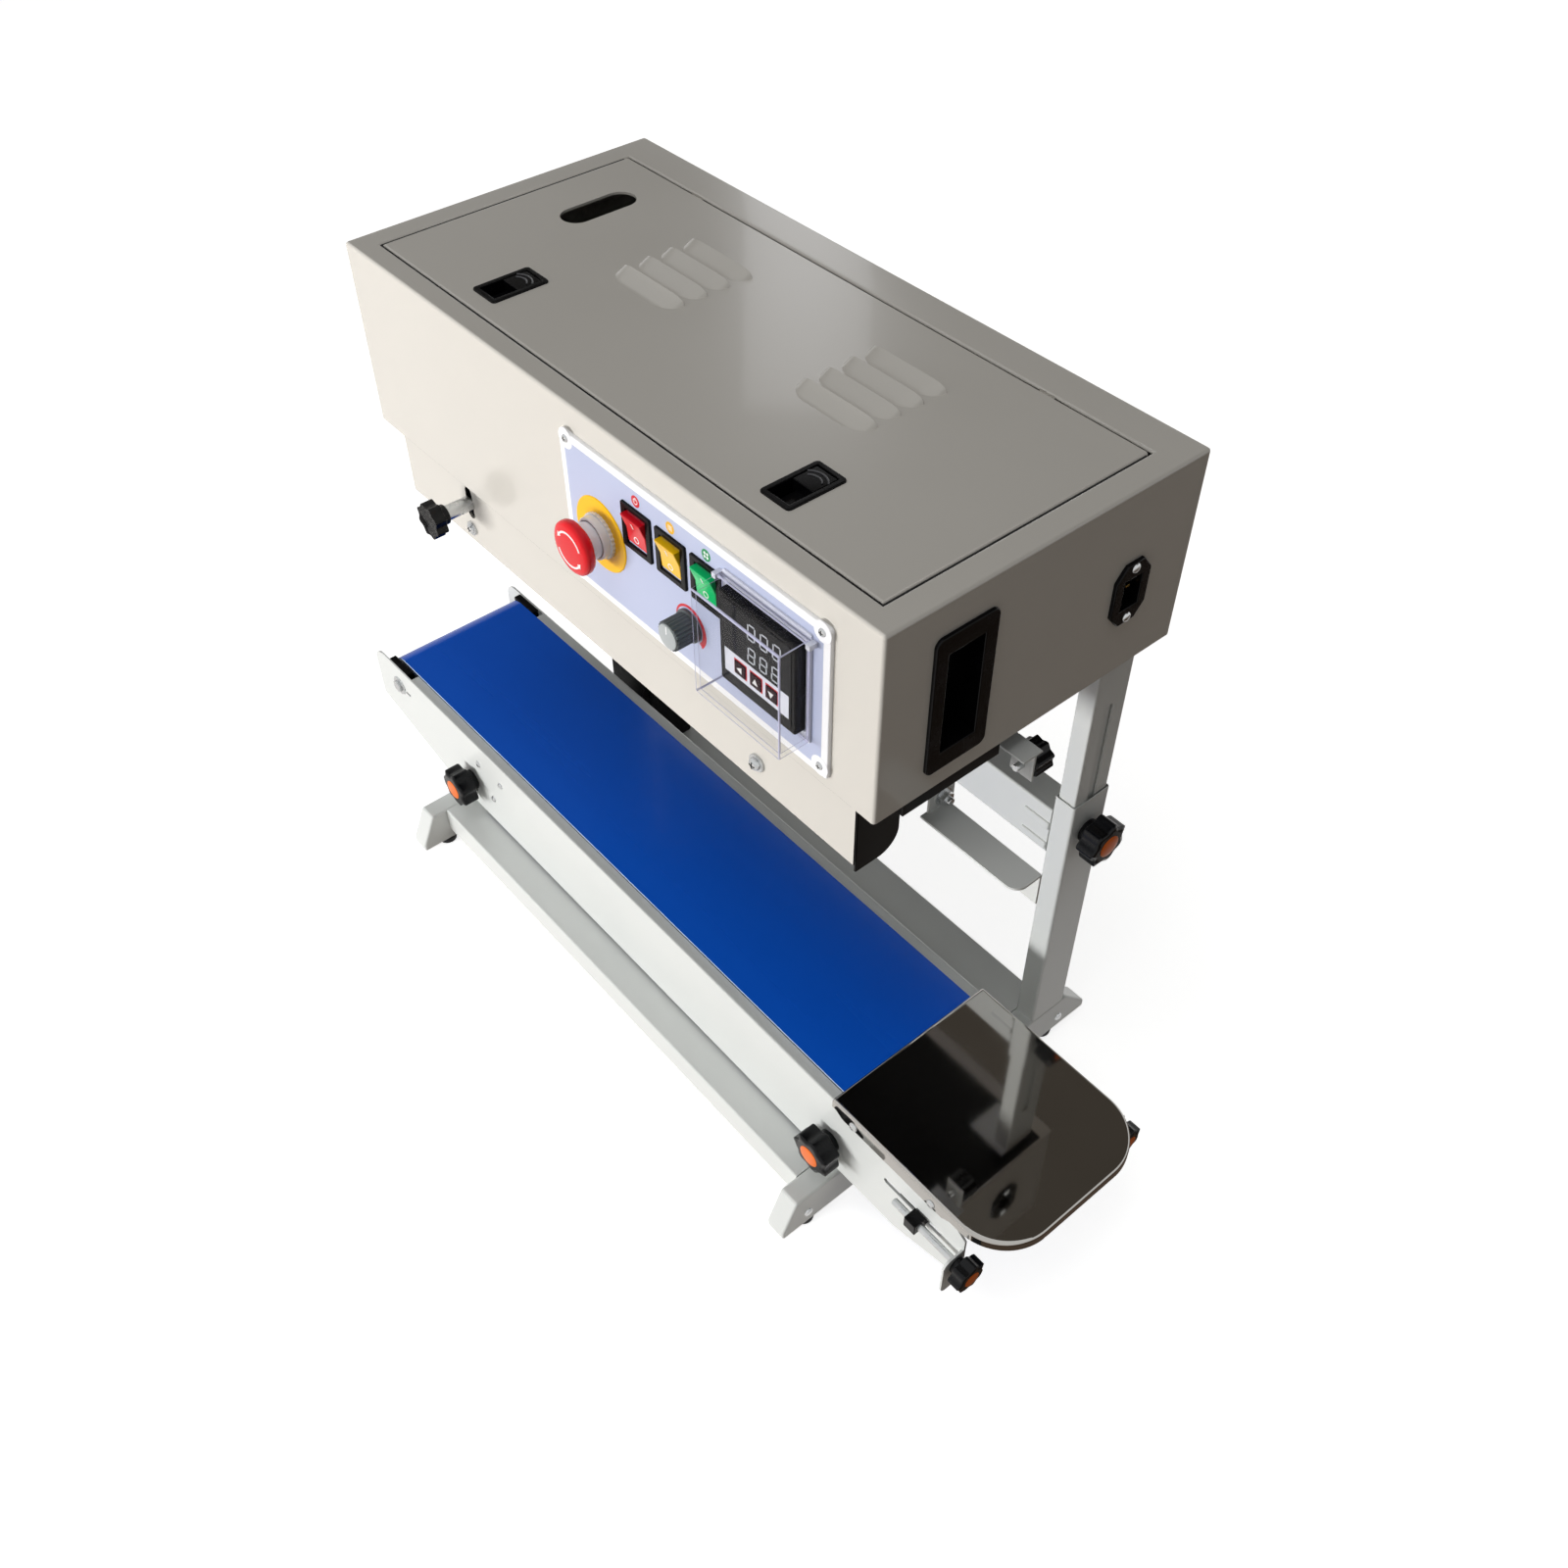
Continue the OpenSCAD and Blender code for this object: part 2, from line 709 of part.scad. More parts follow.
// Slide of one lid latch: thumb block, and the tongue that goes under the front rim
module latch_slide(x) {
  block_l = 20;
  tongue_tip = lid_y0 + head_sheet + 1;
  color(black)
  in_head() translate([x, 0, 0]) {
    translate([-latch_w / 2 + 4.3, latch_y + latch_l / 2 - 4.5 - block_l, -9.9])
      cube([latch_w - 8.6, block_l, 11]);
    translate([-6, tongue_tip, -9]) cube([12, latch_y - tongue_tip + 4, 3]);
  }
}

module left_latch() latch_slide(latch_xs[0]);

module right_latch() latch_slide(latch_xs[1]);

// Square tube fixed under the carrier plate, slotted for the clamp stud
module inner_columns() {
  flange_t = 4;
  flange_w = 44;
  column_base = column_top - column_overlap;
  top = head_top + mech_z;
  color(frame_grey)
  for (s = [-1, 1]) translate([frame_cx + s * foot_cx, column_y, 0])
    difference() {
      union() {
        translate([0, 0, column_base]) linear_extrude(top - column_base)
          difference() {
            square([inner_w, inner_d], center = true);
            square([inner_w - 2 * tube_wall, inner_d - 2 * tube_wall], center = true);
          }
        translate([s > 0 ? -flange_w + inner_w / 2 : -inner_w / 2, -inner_d / 2 - 6, top - flange_t])
          cube([flange_w, inner_d + 4, flange_t]);
      }
      translate([s > 0 ? 0 : -tube_w, 0, 0]) yz_sheet(tube_w)
        slot_2d([0, knob_z - lift_up - 6], [0, knob_z + lift_down + 6], stud_r + 0.5);
    }
}

// Control panel

module control_panel() {
  color([0.80, 0.81, 0.90])
  in_head() translate([0, -panel_t, 0]) difference() {
    translate([(panel_x0 + panel_x1) / 2, 0, (panel_z0 + panel_z1) / 2]) xz_sheet(panel_t)
      round_rect(panel_w, panel_h, 3);
    translate([estop_x, -1, estop_z]) y_bar(11.2, panel_t + 2);
    for (x = rocker_xs) translate([x, -1, rocker_z]) xz_sheet(panel_t + 2)
      square([24.4, 29.4], center = true);
    translate([speed_x, -1, speed_z]) y_bar(5.2, panel_t + 2);
    translate([controller_x, -1, controller_z]) xz_sheet(panel_t + 2)
      square(controller_w - 3.6, center = true);
  }
}

panel_screw_xs = [panel_x0 + 8, panel_x1 - 7];
panel_screw_zs = [panel_z1 - 5, panel_z0 + 8];

module head_screws() {
  washer_drop = 25;
  color(steel)
  in_head() {
    for (x = panel_screw_xs, z = panel_screw_zs) translate([x, -panel_t - 1.6, z]) y_bar(3, 1.6);
    translate([slot_x - 2, head_sheet - 2, stud_z - washer_drop]) y_bar(6, 2);
    translate([slot_x - 2, head_sheet - 4, stud_z - washer_drop]) y_bar(4, 2);
    translate([head_w - 114, head_sheet - 2, stud_z - 17]) y_bar(7, 2);
    translate([head_w - 114, head_sheet - 6, stud_z - 17]) y_bar(5, 4);
  }
}

module estop_collar() {
  color([0.95, 0.75, 0.05])
  in_head() translate([estop_x, 0, estop_z]) difference() {
    union() {
      translate([0, -panel_t - 1, 0]) y_bar(28, 1);
      translate([0, -panel_t - 9, 0]) y_bar(14.5, 9);
      translate([0, -panel_t, 0]) y_bar(11, panel_t + 6);
      translate([-15, head_sheet, -15]) cube([30, 38, 30]);
    }
    translate([0, -panel_t - 10, 0]) y_bar(9.5, 7);
    translate([0, -panel_t - 10, 0]) y_bar(shaft_r + run_gap, 40);
  }
}

module estop_stem() {
  color(steel)
  in_head() translate([estop_x, -panel_t - 23, estop_z]) y_bar(shaft_r, 43);
}

module estop_cap() {
  cap_t = 12;
  color([0.82, 0.07, 0.10])
  in_head() translate([estop_x, -panel_t - 15 - cap_t, estop_z]) difference() {
    union() {
      translate([0, 3, 0]) y_bar(estop_d / 2, cap_t - 3);
      y_bar(estop_d / 2 - 4, 3);
      y_bar(9, cap_t + 5);
    }
    translate([0, 3.7, 0]) y_bar(shaft_r + run_gap, 20);
  }
}

module rocker_bezels() {
  color(black)
  in_head() for (x = rocker_xs) translate([x, -panel_t - 2, rocker_z]) difference() {
    union() {
      xz_sheet(2) round_rect(31, 35, 1.5);
      xz_sheet(26) square([24, 29], center = true);
    }
    translate([0, -1, 0]) xz_sheet(11) square([21, 27], center = true);
    translate([-11.7, 2, 0]) x_bar(1.5 + run_gap, 23.4);
  }
}

// Rocker in its off position: upper half proud, pivot pin through the middle
module rocker(x) {
  in_head() translate([x - 10.2, -panel_t, rocker_z]) {
    yz_sheet(20.4) polygon([[4, -11.6], [-1.2, -11.6], [-2.2, 0], [-6.4, 11.6], [2.5, 11.6]]);
    translate([-1.4, 0, 0]) x_bar(1.5, 23.2);
  }
}

module power_rocker() color([0.80, 0.05, 0.10]) rocker(rocker_xs[0]);

module heater_rocker() color([0.95, 0.68, 0.05]) rocker(rocker_xs[1]);

module fan_rocker() color([0.05, 0.65, 0.35]) rocker(rocker_xs[2]);

// Rotary speed control behind the panel
module speed_dial() {
  color(steel)
  in_head() translate([speed_x, 0, speed_z]) difference() {
    union() {
      translate([0, -panel_t, 0]) y_bar(5, panel_t + 1);
      y_bar(12, 14);
    }
    translate([0, -panel_t - 1, 0]) y_bar(3 + run_gap, 14);
  }
}

module speed_knob() {
  flutes = 24;
  color([0.32, 0.33, 0.34])
  in_head() translate([speed_x, 0, speed_z]) {
    translate([0, -panel_t - 19.5, 0]) xz_sheet(18.5) difference() {
      circle(speed_d / 2);
      for (i = [0:flutes - 1]) rotate(i * 360 / flutes) translate([speed_d / 2 + 0.4, 0]) circle(0.9);
    }
    translate([0, -panel_t - 10, 0]) y_bar(3, 19);
  }
}

module temperature_controller() {
  bezel_t = 9;
  body_w = controller_w - 4;
  color(black)
  in_head() translate([controller_x, 0, controller_z]) {
    translate([0, -panel_t - bezel_t, 0]) xz_sheet(bezel_t) round_rect(controller_w, controller_w, 2);
    translate([0, -panel_t, 0]) xz_sheet(panel_t + 48) square(body_w, center = true);
  }
}

// Frame round the controller, with the two lugs that carry the clear cover
module cover_frame() {
  lug_w = 4;
  lug_h = 4;
  pin_r = 1.2;
  bar_w = cover_w + 2 * (free_gap + lug_w);
  color([0.85, 0.86, 0.90])
  in_head() {
    translate([controller_x, -panel_t - 1.5, 0]) xz_sheet(1.5) difference() {
      union() {
        translate([0, controller_z]) round_rect(cover_w, cover_h + 4, 2);
        translate([0, cover_pivot_z]) square([bar_w, lug_h], center = true);
      }
      translate([0, controller_z]) square(controller_w + 1, center = true);
    }
    for (s = [-1, 1]) translate([controller_x + s * (bar_w - lug_w) / 2, cover_pivot_y, cover_pivot_z]) {
      translate([-lug_w / 2, -2.5, -lug_h / 2]) cube([lug_w, -panel_t - cover_pivot_y + 2.5, lug_h]);
      translate([s > 0 ? -lug_w / 2 - 2 : -lug_w / 2, 0, 0]) x_bar(pin_r, lug_w + 2);
    }
  }
}

// Cover's side outline: back edge clear of the frame, hinge corner round the pivot
module cover_side_2d(inset) {
  back = cover_pivot_y + 2.1;
  top = cover_pivot_z + 2.1 - inset;
  bottom = controller_z - cover_h / 2 + inset;
  front = -panel_t - cover_d + inset;
  translate([cover_pivot_y, cover_pivot_z]) circle(2.1 - (inset > 0 ? inset - 0.5 : 0));
  translate([front, bottom]) square([cover_pivot_y - front, top - bottom]);
  translate([front, bottom]) square([back - front + (inset > 0 ? 5 : 0), cover_pivot_z - bottom]);
}

module controller_cover() {
  wall = 2;
  color([0.85, 0.87, 0.95, 0.35])
  in_head() difference() {
    translate([controller_x - cover_w / 2, 0, 0]) yz_sheet(cover_w) cover_side_2d(0);
    translate([controller_x - cover_w / 2 + wall, 0, 0]) yz_sheet(cover_w - 2 * wall) cover_side_2d(wall);
    translate([controller_x - cover_w / 2 - 1, cover_pivot_y, cover_pivot_z])
      x_bar(1.2 + run_gap, cover_w + 2);
  }
}

// Head's ends and underside

// Recessed carrying handle, seen from outside along -X
module pocket_handle() {
  depth = 24;
  wall = 1.5;
  difference() {
    union() {
      yz_sheet(2.5) round_rect(52, 110, 6);
      translate([-depth, 0, 0]) yz_sheet(depth) square([33.4, 91.4], center = true);
    }
    translate([-depth + wall, 0, 0]) yz_sheet(depth + 5) square([30, 80], center = true);
  }
}

module lifting_handles() {
  color(black)
  in_head() {
    translate([head_w, handle_y, handle_z]) pocket_handle();
    translate([0, handle_y, handle_z]) mirror([1, 0, 0]) pocket_handle();
  }
}

module power_inlet() {
  color(black)
  in_head() translate([head_w, inlet_y, inlet_z]) difference() {
    union() {
      yz_sheet(3) polygon([
        [-14, -13], [-6, -26], [6, -26], [14, -13],
        [14, 13], [6, 26], [-6, 26], [-14, 13]
      ]);
      translate([-22, 0, 0]) yz_sheet(22) square([22, 28], center = true);
    }
    translate([-17, 0, 0]) yz_sheet(30) square([17, 24], center = true);
    for (s = [-1, 1]) translate([-1, 0, s * 20]) x_bar(1.7, 6);
  }
}

module skirt_plate() {
  color(head_grey)
  in_head() translate([0, head_sheet, 0]) xz_sheet(head_sheet) difference() {
    translate([30, skirt_z]) square([head_w - 51, -head_h + 11 - skirt_z]);
    slot_2d([slot_x, stud_z + 10], [slot_x, stud_z - 10], stud_r + 0.5);
  }
}

// Black guard beside the bag's way out, and the black edging under the end wall
module end_guard() {
  guard_h = 64;
  guard_d = 38;
  color(black)
  in_head() {
    translate([head_w - 20.5, 2 * head_sheet + 0.5, 0]) yz_sheet(2) difference() {
      translate([0, -head_h - guard_h]) square([guard_d, guard_h + head_sheet]);
      translate([guard_d - 18, -head_h - guard_h]) difference() {
        square([19, 18]);
        translate([0, 18]) circle(18);
      }
    }
    translate([head_w - 42, 2 * head_sheet + 0.5, -head_h]) cube([22, guard_d, head_sheet]);
    translate([head_w - 4, 25, -head_h - 10]) cube([4, 86, 10]);
  }
}

// Angle that holds the bag's top as it leaves, with its bracket and the pressure knob's bracket
module outfeed_arm() {
  arm_x0 = head_w - 18;
  arm_l = 87;
  arm_z = -head_h - 51;
  plate_x0 = head_w - 24;
  color(frame_grey)
  in_head() {
    translate([arm_x0, 61, arm_z]) linear_extrude(2) difference() {
      square([arm_l, 24]);
      translate([arm_l - 10, -1]) square(11);
    }
    translate([arm_x0 + arm_l - 10, 71, arm_z]) cylinder(r = 10, h = 2);
    translate([arm_x0, 83, arm_z - 26]) cube([arm_l, 2, 28]);
    translate([arm_x0, 67, arm_z]) cube([2, 23, mech_z - arm_z]);
    translate([arm_x0 - 18, 67, mech_z - 2]) cube([20, 23, 2]);
    translate([arm_x0 + 2, 79, arm_z + 11]) rotate([0, 90, 0]) cylinder(r = 5, h = 5, $fn = 6);
    difference() {
      union() {
        translate([plate_x0, 123, mech_z - 21]) cube([36, 18, 2]);
        translate([plate_x0 + 12, 139, mech_z - 51]) cube([20, 2, 32]);
        translate([plate_x0, 123, mech_z - 21]) cube([2, 18, 21]);
      }
      translate([plate_x0 + 22, 130, mech_z - 41]) y_bar(3 + run_gap, 14);
    }
  }
}

module pressure_knob() {
  plate_x0 = head_w - 24;
  color(black)
  in_head() translate([plate_x0 + 22, 141.1, mech_z - 41]) {
    xz_sheet(18) star_2d(13, 8);
    translate([0, -9, 0]) y_bar(3, 12);
  }
}

// Entry guide: plate behind the skirt, with the stud and sleeve that carry its knob
module inlet_guide() {
  guide_y = 2 * head_sheet + free_gap;
  color(steel)
  in_head() {
    translate([0, guide_y, 0]) xz_sheet(2) union() {
      translate([slot_x - 50, stud_z - 24]) square([100, 12]);
      translate([slot_x - 12, stud_z - 13]) square([24, 21]);
    }
    translate([slot_x, -33, stud_z]) y_bar(stud_r, guide_y + 34);
    translate([slot_x, -19.7, stud_z]) y_bar(6, 19.7 + head_sheet - free_gap);
  }
}

module guide_knob() {
  color(black)
  in_head() translate([slot_x, -36, stud_z]) difference() {
    union() {
      xz_sheet(10) star_2d(15, 8);
      y_bar(8, 16);
    }
    translate([0, 2.5, 0]) y_bar(stud_r + run_gap, 20);
  }
}

// Sealing mechanism

wheel_xs = [idler_x, drive_wheel_x];
wheel_ys = [front_wheel_y, rear_wheel_y];

// Carrier plate that closes the head's underside, with the cooling fan's shroud and spider
module mechanism_plate() {
  edge_up = 22;
  shroud_h = 25;
  y0 = 2 * head_sheet + 1;
  color(black)
  in_head() {
    difference() {
      union() {
        translate([head_sheet, y0, mech_z])
          cube([head_w - 2 * head_sheet, head_d - head_sheet - y0, mech_t]);
        for (x = [head_sheet, head_w - 2 * head_sheet - 2])
          translate([x, 120, mech_z]) cube([head_sheet + 2, 80, edge_up]);
        translate([fan_x - fan_w / 2, fan_y - fan_w / 2, mech_z]) cube([fan_w, fan_w, mech_t + shroud_h]);
      }
      for (x = wheel_xs, y = wheel_ys) translate([x, y, mech_z - 1])
        cylinder(r = shaft_r + run_gap, h = mech_t + 2);
      translate([fan_x, fan_y, mech_z - 1]) cylinder(r = fan_w / 2 - 2, h = mech_t + shroud_h + 2);
    }
    translate([fan_x, fan_y, mech_z]) {
      for (a = [45, 135]) rotate(a) translate([-fan_w / 2 + 1, -2, 0]) cube([fan_w - 2, 4, mech_t]);
      cylinder(r = 3, h = mech_t + shroud_h - 3);
    }
  }
}

// Pair of blocks that press the bands, one inside each band loop, hung from the carrier plate
module band_blocks(x) {
  thick = 18;
  touch = seal_gap / 2 + band_t + 0.4;
  block_h = band_h + 8;
  in_head() for (s = [-1, 1]) {
    y0 = seal_y + (s > 0 ? touch : -touch - thick);
    translate([x, y0, band_z - 4]) cube([block_l, thick, block_h]);
    for (dx = [8, block_l - 16]) translate([x + dx, y0 + 5, band_z - 4 + block_h])
      cube([8, 8, mech_z - band_z + 4 - block_h]);
  }
}

module heating_blocks() color([0.72, 0.60, 0.35]) band_blocks(heater_x);

module cooling_blocks() color(steel) band_blocks(fan_x - block_l / 2 - 10);

module sealing_bands() {
  color([0.55, 0.38, 0.22])
  in_head() for (y = wheel_ys) translate([0, y, band_z]) linear_extrude(band_h) difference() {
    loop_2d(idler_x, drive_wheel_x, band_r);
    loop_2d(idler_x, drive_wheel_x, wheel_r + 0.3);
  }
}

module guide_belts() {
  color(black)
  in_head() for (y = wheel_ys) translate([0, y, guide_z]) linear_extrude(guide_h) difference() {
    loop_2d(idler_x, drive_wheel_x, band_r);
    loop_2d(idler_x, drive_wheel_x, band_r - guide_t);
  }
}

// Band wheel with its guide-belt pulley and shaft, from the wheel's foot up
module band_wheel(x, y, shaft_top) {
  pulley_r = band_r - guide_t - 0.3;
  in_head() translate([x, y, 0]) {
    translate([0, 0, band_z - 2]) cylinder(r = wheel_r, h = band_h + 4);
    translate([0, 0, wheel_z]) cylinder(r = pulley_r, h = band_z - 2 - wheel_z);
    translate([0, 0, wheel_z]) cylinder(r = shaft_r, h = shaft_top - wheel_z);
  }
}

module drive_wheel(y, phase, shaft_top) {
  color(steel) band_wheel(drive_wheel_x, y, shaft_top);
  color(steel) in_head() translate([drive_wheel_x, y, gear_z]) linear_extrude(gear_t)
    gear_2d(gear_teeth, gear_r, phase);
}

// Both gears lie in mesh on the line between the wheels
module front_drive_wheel() drive_wheel(front_wheel_y, 90, gear_z + gear_t);

module rear_drive_wheel() drive_wheel(rear_wheel_y, 270 - 180 / gear_teeth, gear_z + gear_t + 18);

module idler_wheel(y) {
  color(steel) band_wheel(idler_x, y, gear_z + 8);
  color(steel) in_head() translate([idler_x, y, gear_z]) cylinder(r = 10, h = 5);
}

module front_idler_wheel() idler_wheel(front_wheel_y);

module rear_idler_wheel() idler_wheel(rear_wheel_y);

// Gearbox over the rear drive gear on four posts, with the motor on top
module drive_motor() {
  box_w = 70;
  box_h = 34;
  box_z = gear_z + gear_t + 4;
  box_x = drive_wheel_x - box_w / 2;
  box_y = rear_wheel_y - 16;
  motor_h = -14 - box_z - box_h;
  color(steel)
  in_head() {
    difference() {
      translate([box_x, box_y, box_z]) cube([box_w, box_w, box_h]);
      translate([drive_wheel_x, rear_wheel_y, box_z - 1]) cylinder(r = shaft_r + run_gap, h = 18);
    }
    for (dx = [6, box_w - 6], dy = [6, box_w - 6])
      translate([box_x + dx, box_y + dy, mech_z + mech_t]) cylinder(r = 4, h = box_z - mech_z - mech_t);
    translate([drive_wheel_x, box_y + 40, box_z + box_h]) cylinder(r = 29, h = motor_h);
  }
}

module fan_rotor() {
  blades = 7;
  color(black)
  in_head() translate([fan_x, fan_y, mech_z + mech_t + 4]) {
    difference() {
      cylinder(r = 16, h = 19);
      translate([0, 0, -1]) cylinder(r = 3 + run_gap, h = 21);
    }
    for (i = [0:blades - 1]) rotate(i * 360 / blades) translate([14, 0, 9.5]) rotate([35, 0, 0])
      translate([0, -11, -0.8]) cube([21, 22, 1.6]);
  }
}

foot_tubes();
rubber_feet();
base_plate();
outer_columns();
cross_beam();
conveyor_brackets();
left_column_knob();
right_column_knob();
left_conveyor_knob();
right_conveyor_knob();
side_plates();
slider_bed();
conveyor_belt();
drive_axle();
drive_roller();
tension_axle();
tension_roller();
front_tension_screw();
rear_tension_screw();
outfeed_tray();
conveyor_screws();
head_case();
inner_columns();
control_panel();
head_screws();
estop_collar();
estop_stem();
estop_cap();
rocker_bezels();
power_rocker();
heater_rocker();
fan_rocker();
speed_dial();
speed_knob();
temperature_controller();
cover_frame();
controller_cover();
lifting_handles();
power_inlet();
skirt_plate();
end_guard();
outfeed_arm();
inlet_guide();
guide_knob();
lid();
latch_frames();
left_latch();
right_latch();
mechanism_plate();
heating_blocks();
cooling_blocks();
sealing_bands();
guide_belts();
front_drive_wheel();
rear_drive_wheel();
front_idler_wheel();
rear_idler_wheel();
drive_motor();
fan_rotor();
pressure_knob();
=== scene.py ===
from math import atan2, cos, pi, radians

import bmesh
import bpy
from mathutils import Matrix, Vector


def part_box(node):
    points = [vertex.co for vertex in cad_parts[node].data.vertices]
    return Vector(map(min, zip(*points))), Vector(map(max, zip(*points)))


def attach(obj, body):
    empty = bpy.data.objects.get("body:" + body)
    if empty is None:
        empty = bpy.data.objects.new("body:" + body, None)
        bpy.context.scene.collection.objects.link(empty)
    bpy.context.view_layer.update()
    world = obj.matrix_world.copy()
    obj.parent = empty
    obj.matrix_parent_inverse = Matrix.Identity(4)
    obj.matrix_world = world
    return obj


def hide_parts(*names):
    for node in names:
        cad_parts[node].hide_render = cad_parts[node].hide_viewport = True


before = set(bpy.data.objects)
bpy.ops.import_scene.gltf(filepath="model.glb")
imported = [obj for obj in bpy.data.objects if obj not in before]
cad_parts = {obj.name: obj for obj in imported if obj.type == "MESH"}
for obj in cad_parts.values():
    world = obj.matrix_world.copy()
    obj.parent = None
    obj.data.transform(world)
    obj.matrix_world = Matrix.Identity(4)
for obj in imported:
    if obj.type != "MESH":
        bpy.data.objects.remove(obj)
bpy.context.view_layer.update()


# Stage: a white floor under soft studio light, with the camera where the photographer stood.
# Floor and world look white to the camera and in gloss, but light the machine gently, mostly from the front.
# Two dark cards and a bright window card, seen only in gloss, are what the lid, tray and end wall mirror.
def linear(hex_colour):
    """Turns an sRGB hex colour into the linear colour that a shader takes."""
    parts = [int(hex_colour[i:i + 2], 16) / 255 for i in (0, 2, 4)]
    return [c / 12.92 if c <= 0.04045 else ((c + 0.055) / 1.055) ** 2.4 for c in parts] + [1]


def set_inputs(tree, item, inputs):
    """Gives a node's sockets their values, or links them to other nodes' outputs."""
    for key, value in inputs.items():
        if isinstance(value, bpy.types.NodeSocket):
            tree.links.new(value, item.inputs[key])
        else:
            item.inputs[key].default_value = value


def add(tree, kind, inputs=None, **settings):
    """Adds one node with its settings, values and links."""
    item = tree.nodes.new(kind)
    for key, value in settings.items():
        setattr(item, key, value)
    set_inputs(tree, item, inputs or {})
    return item


def seen_directly(tree):
    """1 for rays from the camera, or from it by way of gloss or glass; 0 for light that falls on the part."""
    path = add(tree, "ShaderNodeLightPath").outputs
    mirrored = add(tree, "ShaderNodeMath", {0: path["Is Glossy Ray"], 1: path["Is Transmission Ray"]},
                   operation="MAXIMUM").outputs[0]
    return add(tree, "ShaderNodeMath", {0: path["Is Camera Ray"], 1: mirrored}, operation="MAXIMUM").outputs[0]


def stage_plane(name, half, at):
    """Flat stage piece of a half width and half depth, facing up until it is turned."""
    bm = bmesh.new()
    bmesh.ops.create_grid(bm, x_segments=1, y_segments=1, size=1)
    bmesh.ops.transform(bm, matrix=at @ Matrix.Diagonal((*half, 1, 1)), verts=bm.verts)
    mesh = bpy.data.meshes.new(name)
    bm.to_mesh(mesh)
    bm.free()
    plane = bpy.data.objects.new(name, mesh)
    bpy.context.scene.collection.objects.link(plane)
    material = bpy.data.materials.new(name)
    material.use_nodes = True
    mesh.materials.append(material)
    tree = material.node_tree
    tree.nodes.remove(tree.nodes["Principled BSDF"])
    return plane, tree


tree = stage_plane("floor", (9, 9), Matrix.Translation((0, 0, -0.0004)))[1]
camera_ray = add(tree, "ShaderNodeLightPath").outputs["Is Camera Ray"]
shade = add(tree, "ShaderNodeMix", {0: camera_ray, 6: linear("bfb5ac"), 7: linear("f2f2f0")}, data_type="RGBA")
matte = add(tree, "ShaderNodeBsdfDiffuse", {"Color": shade.outputs[2]})
lift = add(tree, "ShaderNodeMath", {0: seen_directly(tree), 1: 0.74}, operation="MULTIPLY")
glow = add(tree, "ShaderNodeEmission", {"Color": linear("ffffff"), "Strength": lift.outputs[0]})
mixed = add(tree, "ShaderNodeAddShader", {0: matte.outputs[0], 1: glow.outputs[0]})
tree.links.new(mixed.outputs[0], tree.nodes["Material Output"].inputs["Surface"])

to_lid = Vector((2.0, -1.83, -1.25)).to_track_quat("Z", "Y").to_matrix().to_4x4()
# Each card's half width and half depth, place, colour and strength.
cards = {
    "ceiling_card": ((3.6, 1.7), Matrix.Translation((-0.9, 2.1, 2.5)), "565049", 1),
    "end_card": ((0.65, 0.8), Matrix.Translation((1.05, 0.55, 0.001)), "5c4e43", 1),
    "window_card": ((0.16, 0.42), Matrix.Translation((-2.0, 1.83, 1.9)) @ to_lid, "e8e8ea", 3.2),
}
for name, (half, at, colour, power) in cards.items():
    card, tree = stage_plane(name, half, at)
    glow = add(tree, "ShaderNodeEmission", {"Color": linear(colour), "Strength": power})
    tree.links.new(glow.outputs[0], tree.nodes["Material Output"].inputs["Surface"])
    card.visible_camera = card.visible_diffuse = card.visible_shadow = card.visible_transmission = False

world = bpy.data.worlds.new("studio")
world.use_nodes = True
bpy.context.scene.world = world
tree = world.node_tree
toward = add(tree, "ShaderNodeTexCoord").outputs["Generated"]
front_and_above = (0.1, -0.55, 0.83)
ahead = add(tree, "ShaderNodeVectorMath", {0: toward, 1: front_and_above}, operation="DOT_PRODUCT")
fill = add(tree, "ShaderNodeMapRange", {"Value": ahead.outputs["Value"], "To Min": 0.015, "To Max": 0.37})
level = add(tree, "ShaderNodeMapRange", {"Value": seen_directly(tree), "To Min": fill.outputs[0], "To Max": 1})
set_inputs(tree, tree.nodes["Background"], {"Color": (1, 1, 1, 1), "Strength": level.outputs[0]})

# Each lamp's place, width and height, and power in watts.
lamps = {
    "key_lamp": ((-1.0, -3.0, 0.32), (1.8, 0.5), 94),
    "top_lamp": ((0.1, -0.9, 2.6), (1.4, 1.4), 14),
    "back_lamp": ((-0.8, 3.0, 0.3), (1.8, 0.5), 26),
}
aim = Vector((0, 0, 0.35))
for name, (spot, (width, height), watts) in lamps.items():
    lamp = bpy.data.lights.new(name, "AREA")
    lamp.shape, lamp.size, lamp.size_y, lamp.energy = "RECTANGLE", width, height, watts
    holder = bpy.data.objects.new(name, lamp)
    holder.visible_glossy = False
    holder.location = spot
    holder.rotation_euler = (aim - Vector(spot)).to_track_quat("-Z", "Y").to_euler()
    bpy.context.scene.collection.objects.link(holder)

camera = bpy.data.objects.new("camera", bpy.data.cameras.new("camera"))
camera.data.sensor_width = 36
camera.data.lens = 35.48
camera.location = (0.7263, -0.5701, 1.1735)
camera.rotation_euler = (radians(90 - 46.216), 0, radians(49.622))
bpy.context.scene.collection.objects.link(camera)
bpy.context.scene.camera = camera
bpy.context.scene.view_settings.view_transform = "Standard"


